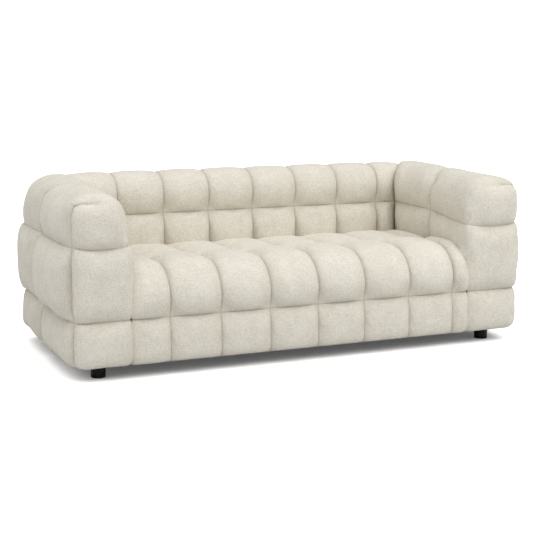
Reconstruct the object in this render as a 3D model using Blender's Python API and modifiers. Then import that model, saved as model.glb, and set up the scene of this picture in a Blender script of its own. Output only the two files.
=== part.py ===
"""Three-seater sofa with a box-quilted cover, modelled as a bench assembly.

Metres, +Z up. The sofa stands on z = 0, its front faces -Y and its length
runs along X. Left and right are as seen by someone facing the sofa.
"""
import math

import bmesh
import bpy
from mathutils import Vector

# Overall sizes, taken between the sewn seams of the cover
SEAT_WIDTH = 1.61
ARM_WIDTH = 0.248
SEAT_DEPTH = 0.74
BACK_DEPTH = 0.205
UNDERSIDE = 0.05
SEAT_HEIGHT = 0.435
ARM_HEIGHT = 0.75
BACK_HEIGHT = 0.755

# Seams of the quilting: heights, column pitch and distances from the front
LOW_SEAM = 0.25
HIGH_SEAM = 0.575
COLUMN_PITCH = 0.2245
NARROWEST_COLUMN = 0.06
SEAT_CROSS_SEAM = 0.325
ARM_INNER_SEAM = 0.365
ARM_OUTER_SEAM = 0.47

# How far the filled panels stand above their seams
LOW_PUFF = 0.02
ARM_OUTER_PUFF = 0.032
ARM_INNER_PUFF = 0.022
ARM_FRONT_PUFF = 0.027
ARM_TOP_PUFF = 0.025
BACK_LOWER_PUFF = 0.048
BACK_UPPER_PUFF = 0.036
BACK_REAR_PUFF = 0.0275
SEAT_FRONT_PUFF = 0.0275
SEAT_TOP_PUFF = 0.026
CROWN_POWER = 2.2
FRONT_BLEND = 0.15
FRONT_WRAP = 0.02
SEAT_TUCK = 0.09
SEAT_SIDE_GAP = 0.002
MITRE_TUCK = 0.03

# Soft edges of the upholstery; the blend is counted in top radii below the top
EDGE_RADIUS = 0.05
SEAT_EDGE_RADIUS = 0.03
REAR_CORNER_RADIUS = 0.06
ARM_TOP_RADIUS = 0.10
ARM_FRONT_TOP_RADIUS = 0.08
BACK_TOP_RADIUS = 0.085
SEAT_NOSE_RADIUS = 0.125
BOTTOM_RADIUS = 0.045
TOP_BLEND_START = 2.2
TOP_BLEND_END = 0.6

# Cover and padding
COVER_THICKNESS = 0.012
COVER_LIP = 0.032
SIDE_PAD = 0.04
FRONT_PAD = 0.04
REAR_PAD = 0.022
TOP_PAD = 0.085
BACK_PAD = 0.07
CORE_OPENING = 0.30
DUST_CLOTH = 0.002
SPRING_PAD = 0.005

# Timber
RAIL_THICKNESS = 0.022
RAIL_TOP = 0.25
STRETCHER_TOP = 0.16
STRETCHER_OFFSET = 0.28
BOARD_THICKNESS = 0.018
PANEL_THICKNESS = 0.012
BACK_PANEL = 0.004
POST_WIDTH = 0.04
POST_OFFSET = 0.27
TOP_RAIL_HEIGHT = 0.04
BLOCK_HEIGHT = 0.045
BLOCK_LENGTH = 0.11
SPRING_RAIL_SETBACK = 0.02

# Suspension
WIRE_DIAMETER = 0.0038
SPRING_COUNT = 7
SPRING_SPACING = 0.2245
SPRING_WIDTH = 0.044
SPRING_BENDS = 20
BEND_TURNS = (0.2, 0.8)
WEB_WIDTH = 0.07
WEB_THICKNESS = 0.002
WEB_SPACE = 0.03
WEB_RISE = 0.12
WEB_DROP = 0.016

# Feet
LEG_DIAMETER = 0.062
LEG_INSET_SIDE = 0.125
LEG_INSET_END = 0.10
LEG_EDGE = 0.002
BOLT_DIAMETER = 0.008
BOLT_IN_LEG = 0.037
BOLT_IN_BLOCK = 0.038
BOLT_CLEARANCE = 0.0003

# Clearance between pieces that touch
GAP = 0.0003

# Facets: pieces a panel is cut into along a side, and sides of a round
ARM_PANEL_CUTS = 6
ARM_ROW_CUTS = 4
BACK_PANEL_CUTS = 4
SEAT_PANEL_CUTS = 4
SEAT_RUN_CUTS = 5
LEG_SEGMENTS = 32
BOLT_SEGMENTS = 12
EDGE_SEGMENTS = 2

# Places worked out from the sizes above
ARM_IN = SEAT_WIDTH / 2
ARM_OUT = ARM_IN + ARM_WIDTH
FRONT = -(SEAT_DEPTH + BACK_DEPTH) / 2
BACK_FACE = FRONT + SEAT_DEPTH
REAR = BACK_FACE + BACK_DEPTH
MITRE_END = ARM_IN + BACK_DEPTH
SEAT_END = ARM_IN - SEAT_SIDE_GAP
SEAT_REAR = BACK_FACE - BACK_LOWER_PUFF - GAP
SEAT_CROSS = FRONT + SEAT_CROSS_SEAM
ARM_CROSS = FRONT + (ARM_INNER_SEAM + ARM_OUTER_SEAM) / 2
FRAME_BOTTOM = UNDERSIDE + COVER_THICKNESS + GAP
FRAME_FRONT = FRONT + COVER_THICKNESS + FRONT_PAD
FRAME_REAR = REAR - COVER_THICKNESS - REAR_PAD
FRAME_IN = ARM_IN + COVER_THICKNESS + SIDE_PAD
FRAME_OUT = ARM_OUT - COVER_THICKNESS - SIDE_PAD
ARM_FRAME_TOP = ARM_HEIGHT - COVER_THICKNESS - TOP_PAD
BACK_FRAME_TOP = BACK_HEIGHT - COVER_THICKNESS - TOP_PAD
BACK_FRAME_FRONT = BACK_FACE + COVER_THICKNESS + BACK_PAD
WEB_FACE = BACK_FRAME_FRONT - GAP - WEB_THICKNESS
WEB_BOTTOM = RAIL_TOP + WEB_RISE
WEB_TOP = BACK_FRAME_TOP - WEB_DROP
SPRING_RAIL_REAR = SEAT_REAR - SPRING_RAIL_SETBACK
WIRE_LEVEL = RAIL_TOP + GAP + WIRE_DIAMETER / 2
PAD_BOTTOM = RAIL_TOP + WIRE_DIAMETER + 2 * GAP
PAD_TOP = PAD_BOTTOM + SPRING_PAD
LEG_X = ARM_OUT - LEG_INSET_SIDE
LEG_Y = {"front": FRONT + LEG_INSET_END, "rear": REAR - LEG_INSET_END}
DUST_TOP = FRAME_BOTTOM - GAP
LEG_TOP = DUST_TOP - DUST_CLOTH - GAP
FAR = 3.0
TOUCH = 1e-5
SNAP = 1e-4

SIDES = (("left", -1), ("right", 1))
ENDS = ("front", "rear")

# Finishes: base colour, roughness, metallic
FINISHES = {
    "boucle_fabric": ((0.69, 0.65, 0.57), 0.95, 0.0),
    "foam": ((0.86, 0.80, 0.62), 0.95, 0.0),
    "pine": ((0.62, 0.45, 0.27), 0.7, 0.0),
    "plywood": ((0.58, 0.43, 0.28), 0.7, 0.0),
    "fibreboard": ((0.33, 0.21, 0.12), 0.8, 0.0),
    "spring_steel": ((0.42, 0.42, 0.43), 0.35, 1.0),
    "zinc_steel": ((0.6, 0.6, 0.62), 0.3, 1.0),
    "black_legs": ((0.008, 0.008, 0.008), 0.4, 0.0),
    "webbing": ((0.05, 0.05, 0.05), 0.9, 0.0),
    "felt": ((0.55, 0.53, 0.5), 0.95, 0.0),
    "dust_cloth": ((0.012, 0.012, 0.012), 0.9, 0.0),
}


def clear_scene():
    """Remove every object of the open scene."""
    for thing in list(bpy.data.objects):
        bpy.data.objects.remove(thing, do_unlink=True)


def new_collection(name):
    """Add a collection to the scene and return it."""
    group = bpy.data.collections.new(name)
    bpy.context.scene.collection.children.link(group)
    return group


def finish(name):
    """Material for one finish, made once."""
    material = bpy.data.materials.get(name)
    if material is None:
        colour, roughness, metallic = FINISHES[name]
        material = bpy.data.materials.new(name)
        material.use_nodes = True
        shader = material.node_tree.nodes["Principled BSDF"]
        shader.inputs["Base Color"].default_value = (*colour, 1.0)
        shader.inputs["Roughness"].default_value = roughness
        shader.inputs["Metallic"].default_value = metallic
    return material


def add_mesh(name, bm, group, material=None):
    """Turn a bmesh into a named object of a collection."""
    bmesh.ops.recalc_face_normals(bm, faces=bm.faces)
    mesh = bpy.data.meshes.new(name)
    bm.to_mesh(mesh)
    bm.free()
    piece = bpy.data.objects.new(name, mesh)
    group.objects.link(piece)
    if material:
        mesh.materials.append(finish(material))
    else:
        piece.hide_render = True
        piece.display_type = "WIRE"
    return piece


def cube_between(low, high):
    """Primitive cube stretched between two corners."""
    bm = bmesh.new()
    bmesh.ops.create_cube(bm, size=1.0)
    for vert in bm.verts:
        vert.co = Vector(
            low[axis] + (vert.co[axis] + 0.5) * (high[axis] - low[axis]) for axis in range(3)
        )
    return bm


def mirror_x(bm):
    """Turn a right-hand piece into its left-hand twin."""
    for vert in bm.verts:
        vert.co.x = -vert.co.x
    bmesh.ops.reverse_faces(bm, faces=bm.faces)
    return bm


def handed(bm, sign):
    """Keep a piece on the right, or mirror it to the left."""
    return bm if sign > 0 else mirror_x(bm)


def slice_off(bm, point, normal):
    """Cut a closed piece by a plane, drop what the normal points to and close the cut."""
    everything = bm.verts[:] + bm.edges[:] + bm.faces[:]
    bmesh.ops.bisect_plane(
        bm, geom=everything, dist=SNAP, plane_co=point, plane_no=normal, clear_outer=True
    )
    rim = [edge for edge in bm.edges if edge.is_boundary]
    bmesh.ops.holes_fill(bm, edges=rim, sides=0)
    return bm


def cut_away(piece, cutter):
    """Subtract a cutter from a piece."""
    boolean = piece.modifiers.new(f"cut by {cutter.name}", "BOOLEAN")
    boolean.operation = "DIFFERENCE"
    boolean.solver = "EXACT"
    boolean.object = cutter


def ease(value, start, end):
    """Smooth step from 0 at start to 1 at end."""
    part = min(max((value - start) / (end - start), 0.0), 1.0)
    return part * part * (3 - 2 * part)


def mix(first, second, part):
    """Value between two others."""
    return first + (second - first) * part


def crown(place):
    """Height of a filled panel across its width: 0 on both seams, 1 midway."""
    place = min(max(place, 0.0), 1.0)
    return math.sqrt(1.0 - abs(2 * place - 1) ** CROWN_POWER)


def panel_lines(seams, parts):
    """The inner seams and, between each two seams, lines that crowd towards them."""
    lines = list(seams[1:-1])
    for start, end in zip(seams, seams[1:]):
        for step in range(1, parts):
            lines.append(mix(start, end, 0.5 - 0.5 * math.cos(math.pi * step / parts)))
    return lines


def between(value, seams):
    """Where a value lies between the two seams around it, from 0 to 1."""
    for start, end in zip(seams, seams[1:]):
        if value <= end:
            return (value - start) / (end - start)
    return 1.0


def column_seams():
    """Seams that part the seat and the back into columns, out from the middle."""
    count = math.floor((SEAT_END - NARROWEST_COLUMN) / COLUMN_PITCH)
    return [COLUMN_PITCH * step for step in range(-count, count + 1)]


class SoftBlock:
    """Box with rounded edges, whose radii may differ from side to side.

    low_radii and high_radii hold one radius for each axis. Near the top the
    four upright sides change over to top_low and top_high instead.
    """

    def __init__(self, low, high, low_radii, high_radii, top_low=None, top_high=None):
        self.low = Vector(low)
        self.high = Vector(high)
        self.low_radii = low_radii
        self.high_radii = high_radii
        self.top_low = top_low or low_radii
        self.top_high = top_high or high_radii

    def inset(self, depth):
        """The same block with all its sides moved in by depth and its radii kept."""
        step = Vector((depth, depth, depth))
        return SoftBlock(self.low + step, self.high - step, self.low_radii, self.high_radii,
                         self.top_low, self.top_high)

    def radii_at(self, height):
        """Radii of the low and the high sides at a height."""
        reach = max(self.high_radii[2], TOUCH)
        part = ease(height, self.high[2] - TOP_BLEND_START * reach, self.high[2] - TOP_BLEND_END * reach)
        low = [mix(self.low_radii[axis], self.top_low[axis], part) for axis in range(3)]
        high = [mix(self.high_radii[axis], self.top_high[axis], part) for axis in range(3)]
        return low, high

    def settle(self, point):
        """Move a point of the plain box onto the rounded block; also give its outward normal."""
        low_radii, high_radii = self.radii_at(point[2])
        core = Vector(point)
        lean = Vector((0.0, 0.0, 0.0))
        radius = Vector((1.0, 1.0, 1.0))
        normal = Vector((0.0, 0.0, 0.0))
        for axis in range(3):
            for sign, face, rounding in ((-1, self.low, low_radii), (1, self.high, high_radii)):
                depth = sign * (face[axis] - point[axis])
                if rounding[axis] and depth < rounding[axis]:
                    radius[axis] = rounding[axis]
                    lean[axis] = sign * (1 - depth / rounding[axis])
                    core[axis] = face[axis] - sign * rounding[axis]
                elif depth < TOUCH:
                    normal[axis] = sign
        reach = max(abs(part) for part in lean)
        if reach > 0:
            lean *= reach / lean.length
        if reach > 1 - TOUCH:
            normal = Vector(lean[axis] / radius[axis] for axis in range(3))
        place = Vector(core[axis] + lean[axis] * radius[axis] for axis in range(3))
        return place, normal.normalized()

    def edge_lines(self, axis):
        """Cutting lines that give each rounded edge four flats."""
        lines = []
        for low_radius in {self.low_radii[axis], self.top_low[axis]} - {0.0}:
            lines += [self.low[axis] + low_radius * part for part in (1 - math.tan(math.pi / 8), 1)]
        for high_radius in {self.high_radii[axis], self.top_high[axis]} - {0.0}:
            lines += [self.high[axis] - high_radius * part for part in (1 - math.tan(math.pi / 8), 1)]
        return lines

    def build(self, lines=None, shift=None, puff=None):
        """Mesh of the block, cut along lines for each axis, with its panels puffed out."""
        bm = cube_between(self.low, self.high)
        for axis in range(3):
            across = Vector((axis == 0, axis == 1, axis == 2))
            for line in lines[axis] if lines else self.edge_lines(axis):
                everything = bm.verts[:] + bm.edges[:] + bm.faces[:]
                bmesh.ops.bisect_plane(
                    bm, geom=everything, dist=1e-6, plane_co=across * line, plane_no=across
                )
        for vert in bm.verts:
            point = shift(vert.co) if shift else Vector(vert.co)
            place, normal = self.settle(point)
            vert.co = place + normal * puff(point) if puff else place
        bmesh.ops.triangulate(bm, faces=bm.faces, quad_method="FIXED")
        return bm


def arm_cross_at(x):
    """Place of the seam across an arm, which slants from its inner to its outer side."""
    part = (x - ARM_IN) / ARM_WIDTH
    return FRONT + mix(ARM_INNER_SEAM, ARM_OUTER_SEAM, part)


def arm_shift(point):
    """Slide the points of an arm along Y so that the cut lines follow its slanting seam."""
    if point.y < ARM_CROSS:
        weight = (point.y - FRONT) / (ARM_CROSS - FRONT)
    else:
        weight = (REAR - point.y) / (REAR - ARM_CROSS)
    slide = (arm_cross_at(point.x) - ARM_CROSS) * weight
    return Vector((point.x, point.y + slide, point.z))


def arm_puff(point):
    """Height of an arm's panels above the seams at a point of its plain box."""
    x, y, z = point
    if z < UNDERSIDE + TOUCH:
        return 0.0
    on_front = y < FRONT + TOUCH
    on_inside = x < ARM_IN + TOUCH
    on_top = z > ARM_HEIGHT - TOUCH
    cross = arm_cross_at(x)
    above_seat = ease(z, SEAT_HEIGHT, HIGH_SEAM)
    wrap = ARM_WIDTH + mix(FRONT_WRAP, ARM_INNER_SEAM, above_seat)
    behind_front = ease(y, FRONT, FRONT + FRONT_BLEND)
    if on_front:
        along = (ARM_OUT - x) / wrap
    elif y > REAR - TOUCH:
        rear_run = REAR - cross
        along = (rear_run + ARM_OUT - x) / (rear_run + ARM_OUT - MITRE_END)
    elif y < cross:
        along = (y - FRONT) / (cross - FRONT)
        if on_inside:
            wrapped = (ARM_WIDTH + y - FRONT) / wrap
            along = mix(wrapped, along, ease(z, HIGH_SEAM, ARM_HEIGHT))
    else:
        past = MITRE_TUCK * ease(z, HIGH_SEAM, ARM_HEIGHT)
        along = (y - cross) / (BACK_FACE + x - ARM_IN + past - cross)
    rise = ARM_HEIGHT - HIGH_SEAM
    over = 2 * rise + ARM_WIDTH
    if z <= LOW_SEAM:
        up = between(z, (UNDERSIDE, LOW_SEAM))
        height = 0.0 if on_inside and not on_front else LOW_PUFF
    elif z <= HIGH_SEAM:
        up = between(z, (LOW_SEAM, HIGH_SEAM))
        height = ARM_FRONT_PUFF if on_front else ARM_OUTER_PUFF
        if on_inside and not on_front:
            up = mix(up, (z - SEAT_HEIGHT) / (HIGH_SEAM - SEAT_HEIGHT), behind_front)
            height = ARM_INNER_PUFF
    else:
        height = ARM_TOP_PUFF
        front_up = (z - HIGH_SEAM) / rise
        if on_front:
            up = front_up
        elif on_top:
            up = (rise + x - ARM_IN) / over
        elif on_inside:
            up = mix(front_up, (z - HIGH_SEAM) / over, behind_front)
        else:
            up = (z - HIGH_SEAM) / over
    return height * crown(along) * crown(up)


def back_puff(point):
    """Height of the back's panels above the seams at a point of its plain box."""
    x, y, z = point
    if z < UNDERSIDE + TOUCH:
        return 0.0
    seams = column_seams()
    mitre = ARM_IN + y - BACK_FACE + MITRE_TUCK * ease(z, HIGH_SEAM, BACK_HEIGHT)
    across = between(x, [-mitre] + seams + [mitre])
    on_face = y < BACK_FACE + TOUCH
    rise = BACK_HEIGHT - HIGH_SEAM
    over = 2 * rise + BACK_DEPTH
    if z <= LOW_SEAM:
        up = between(z, (UNDERSIDE, LOW_SEAM))
        height = LOW_PUFF
    elif z <= HIGH_SEAM:
        up = between(z, (LOW_SEAM, HIGH_SEAM))
        height = BACK_LOWER_PUFF if on_face else BACK_REAR_PUFF
    else:
        if z > BACK_HEIGHT - TOUCH:
            up = (rise + y - BACK_FACE) / over
        elif on_face:
            up = (z - HIGH_SEAM) / over
        else:
            up = 1 - (z - HIGH_SEAM) / over
        height = mix(BACK_UPPER_PUFF, LOW_PUFF, up)
    return height * crown(across) * crown(up)


def seat_puff(point):
    """Height of the seat's panels above the seams at a point of its plain box."""
    x, y, z = point
    behind = y > SEAT_REAR - TOUCH and z < SEAT_HEIGHT - TOUCH
    if z < UNDERSIDE + TOUCH or behind:
        return 0.0
    across = between(x, [-SEAT_END] + column_seams() + [SEAT_END])
    nose = SEAT_HEIGHT - LOW_SEAM
    if y < FRONT + TOUCH and z <= LOW_SEAM:
        along = between(z, (UNDERSIDE, LOW_SEAM))
        height = LOW_PUFF
    elif y < FRONT + TOUCH:
        along = (z - LOW_SEAM) / (nose + SEAT_CROSS_SEAM)
        height = SEAT_FRONT_PUFF
    elif y <= SEAT_CROSS:
        along = (nose + y - FRONT) / (nose + SEAT_CROSS_SEAM)
        height = SEAT_FRONT_PUFF
    else:
        along = (y - SEAT_CROSS) / (SEAT_REAR + SEAT_TUCK - SEAT_CROSS)
        height = SEAT_TOP_PUFF
    return height * crown(across) * crown(along)


def arm_block():
    """Plain rounded shape of the right arm, at the level of its seams."""
    return SoftBlock(
        (ARM_IN, FRONT, UNDERSIDE),
        (ARM_OUT, REAR, ARM_HEIGHT),
        (SEAT_EDGE_RADIUS, EDGE_RADIUS, BOTTOM_RADIUS),
        (EDGE_RADIUS, REAR_CORNER_RADIUS, ARM_TOP_RADIUS),
        (ARM_TOP_RADIUS, ARM_FRONT_TOP_RADIUS, BOTTOM_RADIUS),
        (ARM_TOP_RADIUS, BACK_TOP_RADIUS, ARM_TOP_RADIUS),
    )


def back_block():
    """Plain rounded shape of the back, which runs on behind the arms."""
    return SoftBlock(
        (-ARM_OUT, BACK_FACE, UNDERSIDE),
        (ARM_OUT, REAR, BACK_HEIGHT),
        (0.0, BOTTOM_RADIUS, BOTTOM_RADIUS),
        (0.0, BOTTOM_RADIUS, BACK_TOP_RADIUS),
        (0.0, BACK_TOP_RADIUS, BOTTOM_RADIUS),
        (0.0, BACK_TOP_RADIUS, BACK_TOP_RADIUS),
    )


def seat_block():
    """Plain rounded shape of the seat between the arms."""
    return SoftBlock(
        (-SEAT_END, FRONT, UNDERSIDE),
        (SEAT_END, SEAT_REAR, SEAT_HEIGHT),
        (SEAT_EDGE_RADIUS, SEAT_EDGE_RADIUS, BOTTOM_RADIUS),
        (SEAT_EDGE_RADIUS, 0.0, SEAT_NOSE_RADIUS),
        (EDGE_RADIUS, SEAT_NOSE_RADIUS, BOTTOM_RADIUS),
        (EDGE_RADIUS, 0.0, SEAT_NOSE_RADIUS),
    )


class Sofa:
    """The assembly: every piece goes into one collection, every cutter into another."""

    def __init__(self):
        self.parts = new_collection("three_seater_sofa")
        self.cutters = new_collection("cutters")

    def box(self, name, low, high, material):
        """Board, block or sheet between two corners."""
        return add_mesh(name, cube_between(low, high), self.parts, material)

    def handed_box(self, name, sign, low, high, material):
        """Box given for the right side, mirrored where the sign says left."""
        return add_mesh(name, handed(cube_between(low, high), sign), self.parts, material)

    def cutter(self, name, bm):
        """Hidden body that is subtracted from pieces."""
        return add_mesh(name, bm, self.cutters)

    def rod(self, centre, radius, bottom, top, segments):
        """Upright cylinder."""
        bm = bmesh.new()
        bmesh.ops.create_cone(
            bm, cap_ends=True, segments=segments, radius1=radius, radius2=radius, depth=top - bottom
        )
        bmesh.ops.translate(bm, verts=bm.verts, vec=(*centre, (bottom + top) / 2))
        return bm

    def leg_places(self):
        """Name ending and centre of each leg."""
        for end in ENDS:
            for side, sign in SIDES:
                yield f"{end}_{side}", (sign * LEG_X, LEG_Y[end])

    def base_frame(self):
        """Rails that carry everything else, and the blocks that hold the legs."""
        inner_front = FRAME_FRONT + RAIL_THICKNESS + GAP
        inner_rear = FRAME_REAR - RAIL_THICKNESS - GAP
        spring_front = SPRING_RAIL_REAR - RAIL_THICKNESS
        self.box("base_front_rail", (-FRAME_OUT, FRAME_FRONT, FRAME_BOTTOM),
                 (FRAME_OUT, inner_front - GAP, RAIL_TOP), "pine")
        self.box("base_rear_rail", (-FRAME_OUT, inner_rear + GAP, FRAME_BOTTOM),
                 (FRAME_OUT, FRAME_REAR, RAIL_TOP), "pine")
        self.box("spring_rail", (-FRAME_IN + GAP, spring_front, FRAME_BOTTOM),
                 (FRAME_IN - GAP, SPRING_RAIL_REAR, RAIL_TOP), "pine")
        for side, sign in SIDES:
            self.handed_box(f"base_end_rail_{side}", sign,
                            (FRAME_OUT - RAIL_THICKNESS, inner_front, FRAME_BOTTOM),
                            (FRAME_OUT, inner_rear, RAIL_TOP), "pine")
            self.handed_box(f"base_cross_rail_{side}", sign,
                            (FRAME_IN, inner_front, FRAME_BOTTOM),
                            (FRAME_IN + RAIL_THICKNESS, inner_rear, RAIL_TOP), "pine")
            self.handed_box(f"seat_stretcher_{side}", sign,
                            (STRETCHER_OFFSET - RAIL_THICKNESS / 2, inner_front, FRAME_BOTTOM),
                            (STRETCHER_OFFSET + RAIL_THICKNESS / 2, spring_front - GAP, STRETCHER_TOP),
                            "pine")

    def feet(self):
        """Legs, the bolts that hold them and the timber blocks that take the bolts."""
        inner_front = FRAME_FRONT + RAIL_THICKNESS + GAP
        inner_rear = FRAME_REAR - RAIL_THICKNESS - GAP
        starts = {"front": inner_front, "rear": inner_rear - BLOCK_LENGTH}
        hole = BOLT_DIAMETER / 2 + BOLT_CLEARANCE
        floor_of_hole = LEG_TOP - BOLT_IN_LEG - GAP
        for end in ENDS:
            for side, sign in SIDES:
                self.handed_box(f"leg_block_{end}_{side}", sign,
                                (FRAME_IN + RAIL_THICKNESS + GAP, starts[end], FRAME_BOTTOM),
                                (FRAME_OUT - RAIL_THICKNESS - GAP, starts[end] + BLOCK_LENGTH,
                                 FRAME_BOTTOM + BLOCK_HEIGHT), "pine")
        for place, centre in self.leg_places():
            leg = add_mesh(f"leg_{place}",
                           self.rod(centre, LEG_DIAMETER / 2, 0.0, LEG_TOP, LEG_SEGMENTS),
                           self.parts, "black_legs")
            edge = leg.modifiers.new("soft edges", "BEVEL")
            edge.width = LEG_EDGE
            edge.segments = EDGE_SEGMENTS
            bore = self.cutter(f"bolt_hole_{place}",
                               self.rod(centre, hole, floor_of_hole, FAR, BOLT_SEGMENTS))
            cut_away(leg, bore)
            cut_away(bpy.data.objects[f"leg_block_{place}"], bore)
            add_mesh(f"leg_bolt_{place}",
                     self.rod(centre, BOLT_DIAMETER / 2, LEG_TOP - BOLT_IN_LEG,
                              FRAME_BOTTOM + BOLT_IN_BLOCK, BOLT_SEGMENTS),
                     self.parts, "zinc_steel")

    def underside(self):
        """Dust cloth that closes the bottom, pierced where the leg bolts pass."""
        reach_x = ARM_OUT - COVER_LIP - GAP
        cloth = self.box("dust_cloth", (-reach_x, FRONT + COVER_LIP + GAP, DUST_TOP - DUST_CLOTH),
                         (reach_x, REAR - COVER_LIP - GAP, DUST_TOP), "dust_cloth")
        for place, _ in self.leg_places():
            cut_away(cloth, bpy.data.objects[f"bolt_hole_{place}"])

    def arm_frames(self):
        """Box frame of each arm: front and rear boards, two side panels and a mitred top board."""
        bottom = RAIL_TOP + GAP
        under_top = ARM_FRAME_TOP - BOARD_THICKNESS
        panel_front = FRAME_FRONT + BOARD_THICKNESS + GAP
        panel_rear = FRAME_REAR - BOARD_THICKNESS - GAP
        for side, sign in SIDES:
            self.handed_box(f"arm_front_board_{side}", sign, (FRAME_IN, FRAME_FRONT, bottom),
                            (FRAME_OUT, panel_front - GAP, under_top - GAP), "plywood")
            self.handed_box(f"arm_rear_board_{side}", sign, (FRAME_IN, panel_rear + GAP, bottom),
                            (FRAME_OUT, FRAME_REAR, under_top - GAP), "plywood")
            self.handed_box(f"arm_inner_panel_{side}", sign, (FRAME_IN, panel_front, bottom),
                            (FRAME_IN + PANEL_THICKNESS, panel_rear, under_top - GAP), "plywood")
            self.handed_box(f"arm_outer_panel_{side}", sign,
                            (FRAME_OUT - PANEL_THICKNESS, panel_front, bottom),
                            (FRAME_OUT, panel_rear, under_top - GAP), "plywood")
            top = cube_between((FRAME_IN, FRAME_FRONT, under_top), (FRAME_OUT, FRAME_REAR, ARM_FRAME_TOP))
            top = slice_off(top, (ARM_IN + COVER_THICKNESS, BACK_FACE, 0), (-1, 1, 0))
            add_mesh(f"arm_top_board_{side}", handed(top, sign), self.parts, "plywood")

    def back_frame(self):
        """Posts on the rear rail, a top rail over them, webbing in front and a thin rear panel."""
        end = FRAME_IN - GAP
        rear = FRAME_REAR - BACK_PANEL - GAP
        bottom = RAIL_TOP + GAP
        under_top = BACK_FRAME_TOP - TOP_RAIL_HEIGHT
        for side, sign in SIDES:
            places = (("end", end - POST_WIDTH), ("inner", POST_OFFSET - POST_WIDTH / 2))
            for kind, start in places:
                self.handed_box(f"back_{kind}_post_{side}", sign, (start, BACK_FRAME_FRONT, bottom),
                                (start + POST_WIDTH, rear, under_top - GAP), "pine")
        self.box("back_top_rail", (-end, BACK_FRAME_FRONT, under_top), (end, rear, BACK_FRAME_TOP), "pine")
        self.box("back_panel", (-end, rear + GAP, bottom), (end, FRAME_REAR, BACK_FRAME_TOP), "fibreboard")
        pitch = WEB_WIDTH + WEB_SPACE
        for index in range(math.floor((WEB_TOP - WEB_BOTTOM + WEB_SPACE) / pitch)):
            low = WEB_BOTTOM + index * pitch
            self.box(f"back_webbing_{index + 1}",
                     (-end, WEB_FACE, low),
                     (end, BACK_FRAME_FRONT - GAP, low + WEB_WIDTH), "webbing")

    def seat_springs(self):
        """Flat zigzag wires from the front rail to the spring rail, and the felt laid over them."""
        start = FRAME_FRONT + RAIL_THICKNESS / 2
        end = SPRING_RAIL_REAR - RAIL_THICKNESS / 2
        step = (end - start) / SPRING_BENDS
        for index in range(SPRING_COUNT):
            middle = (index - (SPRING_COUNT - 1) / 2) * SPRING_SPACING
            curve = bpy.data.curves.new(f"seat_spring_{index + 1}", "CURVE")
            curve.dimensions = "3D"
            curve.bevel_depth = WIRE_DIAMETER / 2
            curve.bevel_resolution = 0
            curve.use_fill_caps = True
            wire = curve.splines.new("POLY")
            wire.points.add(2 * SPRING_BENDS - 1)
            for bend in range(SPRING_BENDS):
                x = middle + (SPRING_WIDTH / 2 if bend % 2 else -SPRING_WIDTH / 2)
                for half, offset in enumerate(BEND_TURNS):
                    wire.points[2 * bend + half].co = (x, start + (bend + offset) * step, WIRE_LEVEL, 1.0)
            curve.materials.append(finish("spring_steel"))
            self.parts.objects.link(bpy.data.objects.new(curve.name, curve))
        self.box("spring_felt", (-SEAT_END + COVER_THICKNESS + GAP, FRAME_FRONT, PAD_BOTTOM),
                 (SEAT_END - COVER_THICKNESS - GAP, SPRING_RAIL_REAR, PAD_TOP), "felt")

    def seat_padding(self):
        """Seat foam over the springs, and the foam strip on the face of the front rail."""
        inside = seat_block().inset(COVER_THICKNESS + GAP)
        inside.high.y = SEAT_REAR
        seat = slice_off(inside.build(), (0, 0, PAD_TOP + GAP), (0, 0, -1))
        add_mesh("seat_foam", seat, self.parts, "foam")
        strip = slice_off(inside.build(), (0, 0, PAD_TOP), (0, 0, 1))
        strip = slice_off(strip, (0, FRAME_FRONT - GAP, 0), (0, 1, 0))
        add_mesh("front_rail_foam", strip, self.parts, "foam")

    def arm_padding(self):
        """Foam wrapped over the frame of each arm; open below and where the back joins."""
        for side, sign in SIDES:
            inside = arm_block().inset(COVER_THICKNESS + GAP)
            foam = add_mesh(f"arm_foam_{side}", handed(inside.build(), sign), self.parts, "foam")
            passage = cube_between((0, FRONT + COVER_LIP, -FAR), (FRAME_IN + GAP, FAR, CORE_OPENING))
            cut_away(foam, self.cutter(f"arm_rail_passage_{side}", handed(passage, sign)))
            joint = cube_between((0, WEB_FACE - GAP, -FAR), (FRAME_IN + GAP, FAR, BACK_FRAME_TOP + GAP))
            cut_away(foam, self.cutter(f"arm_back_joint_{side}", handed(joint, sign)))
            core = cube_between((FRAME_IN - GAP, FRAME_FRONT - GAP, -FAR),
                                (FRAME_OUT + GAP, FRAME_REAR + GAP, ARM_FRAME_TOP + GAP))
            cut_away(foam, self.cutter(f"arm_core_{side}", handed(core, sign)))

    def back_padding(self):
        """Foam over the front, top and rear of the back frame, between the arms' foam."""
        inside = back_block().inset(COVER_THICKNESS + GAP)
        inside.low.x = -ARM_IN - COVER_THICKNESS + GAP
        inside.high.x = ARM_IN + COVER_THICKNESS - GAP
        foam = add_mesh("back_foam", inside.build(), self.parts, "foam")
        core = cube_between((-FAR, WEB_FACE - GAP, -FAR), (FAR, FRAME_REAR + GAP, BACK_FRAME_TOP + GAP))
        cut_away(foam, self.cutter("back_core", core))
        below = cube_between((-FAR, -FAR, -FAR), (FAR, WEB_FACE, CORE_OPENING))
        cut_away(foam, self.cutter("back_foot", below))

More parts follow.
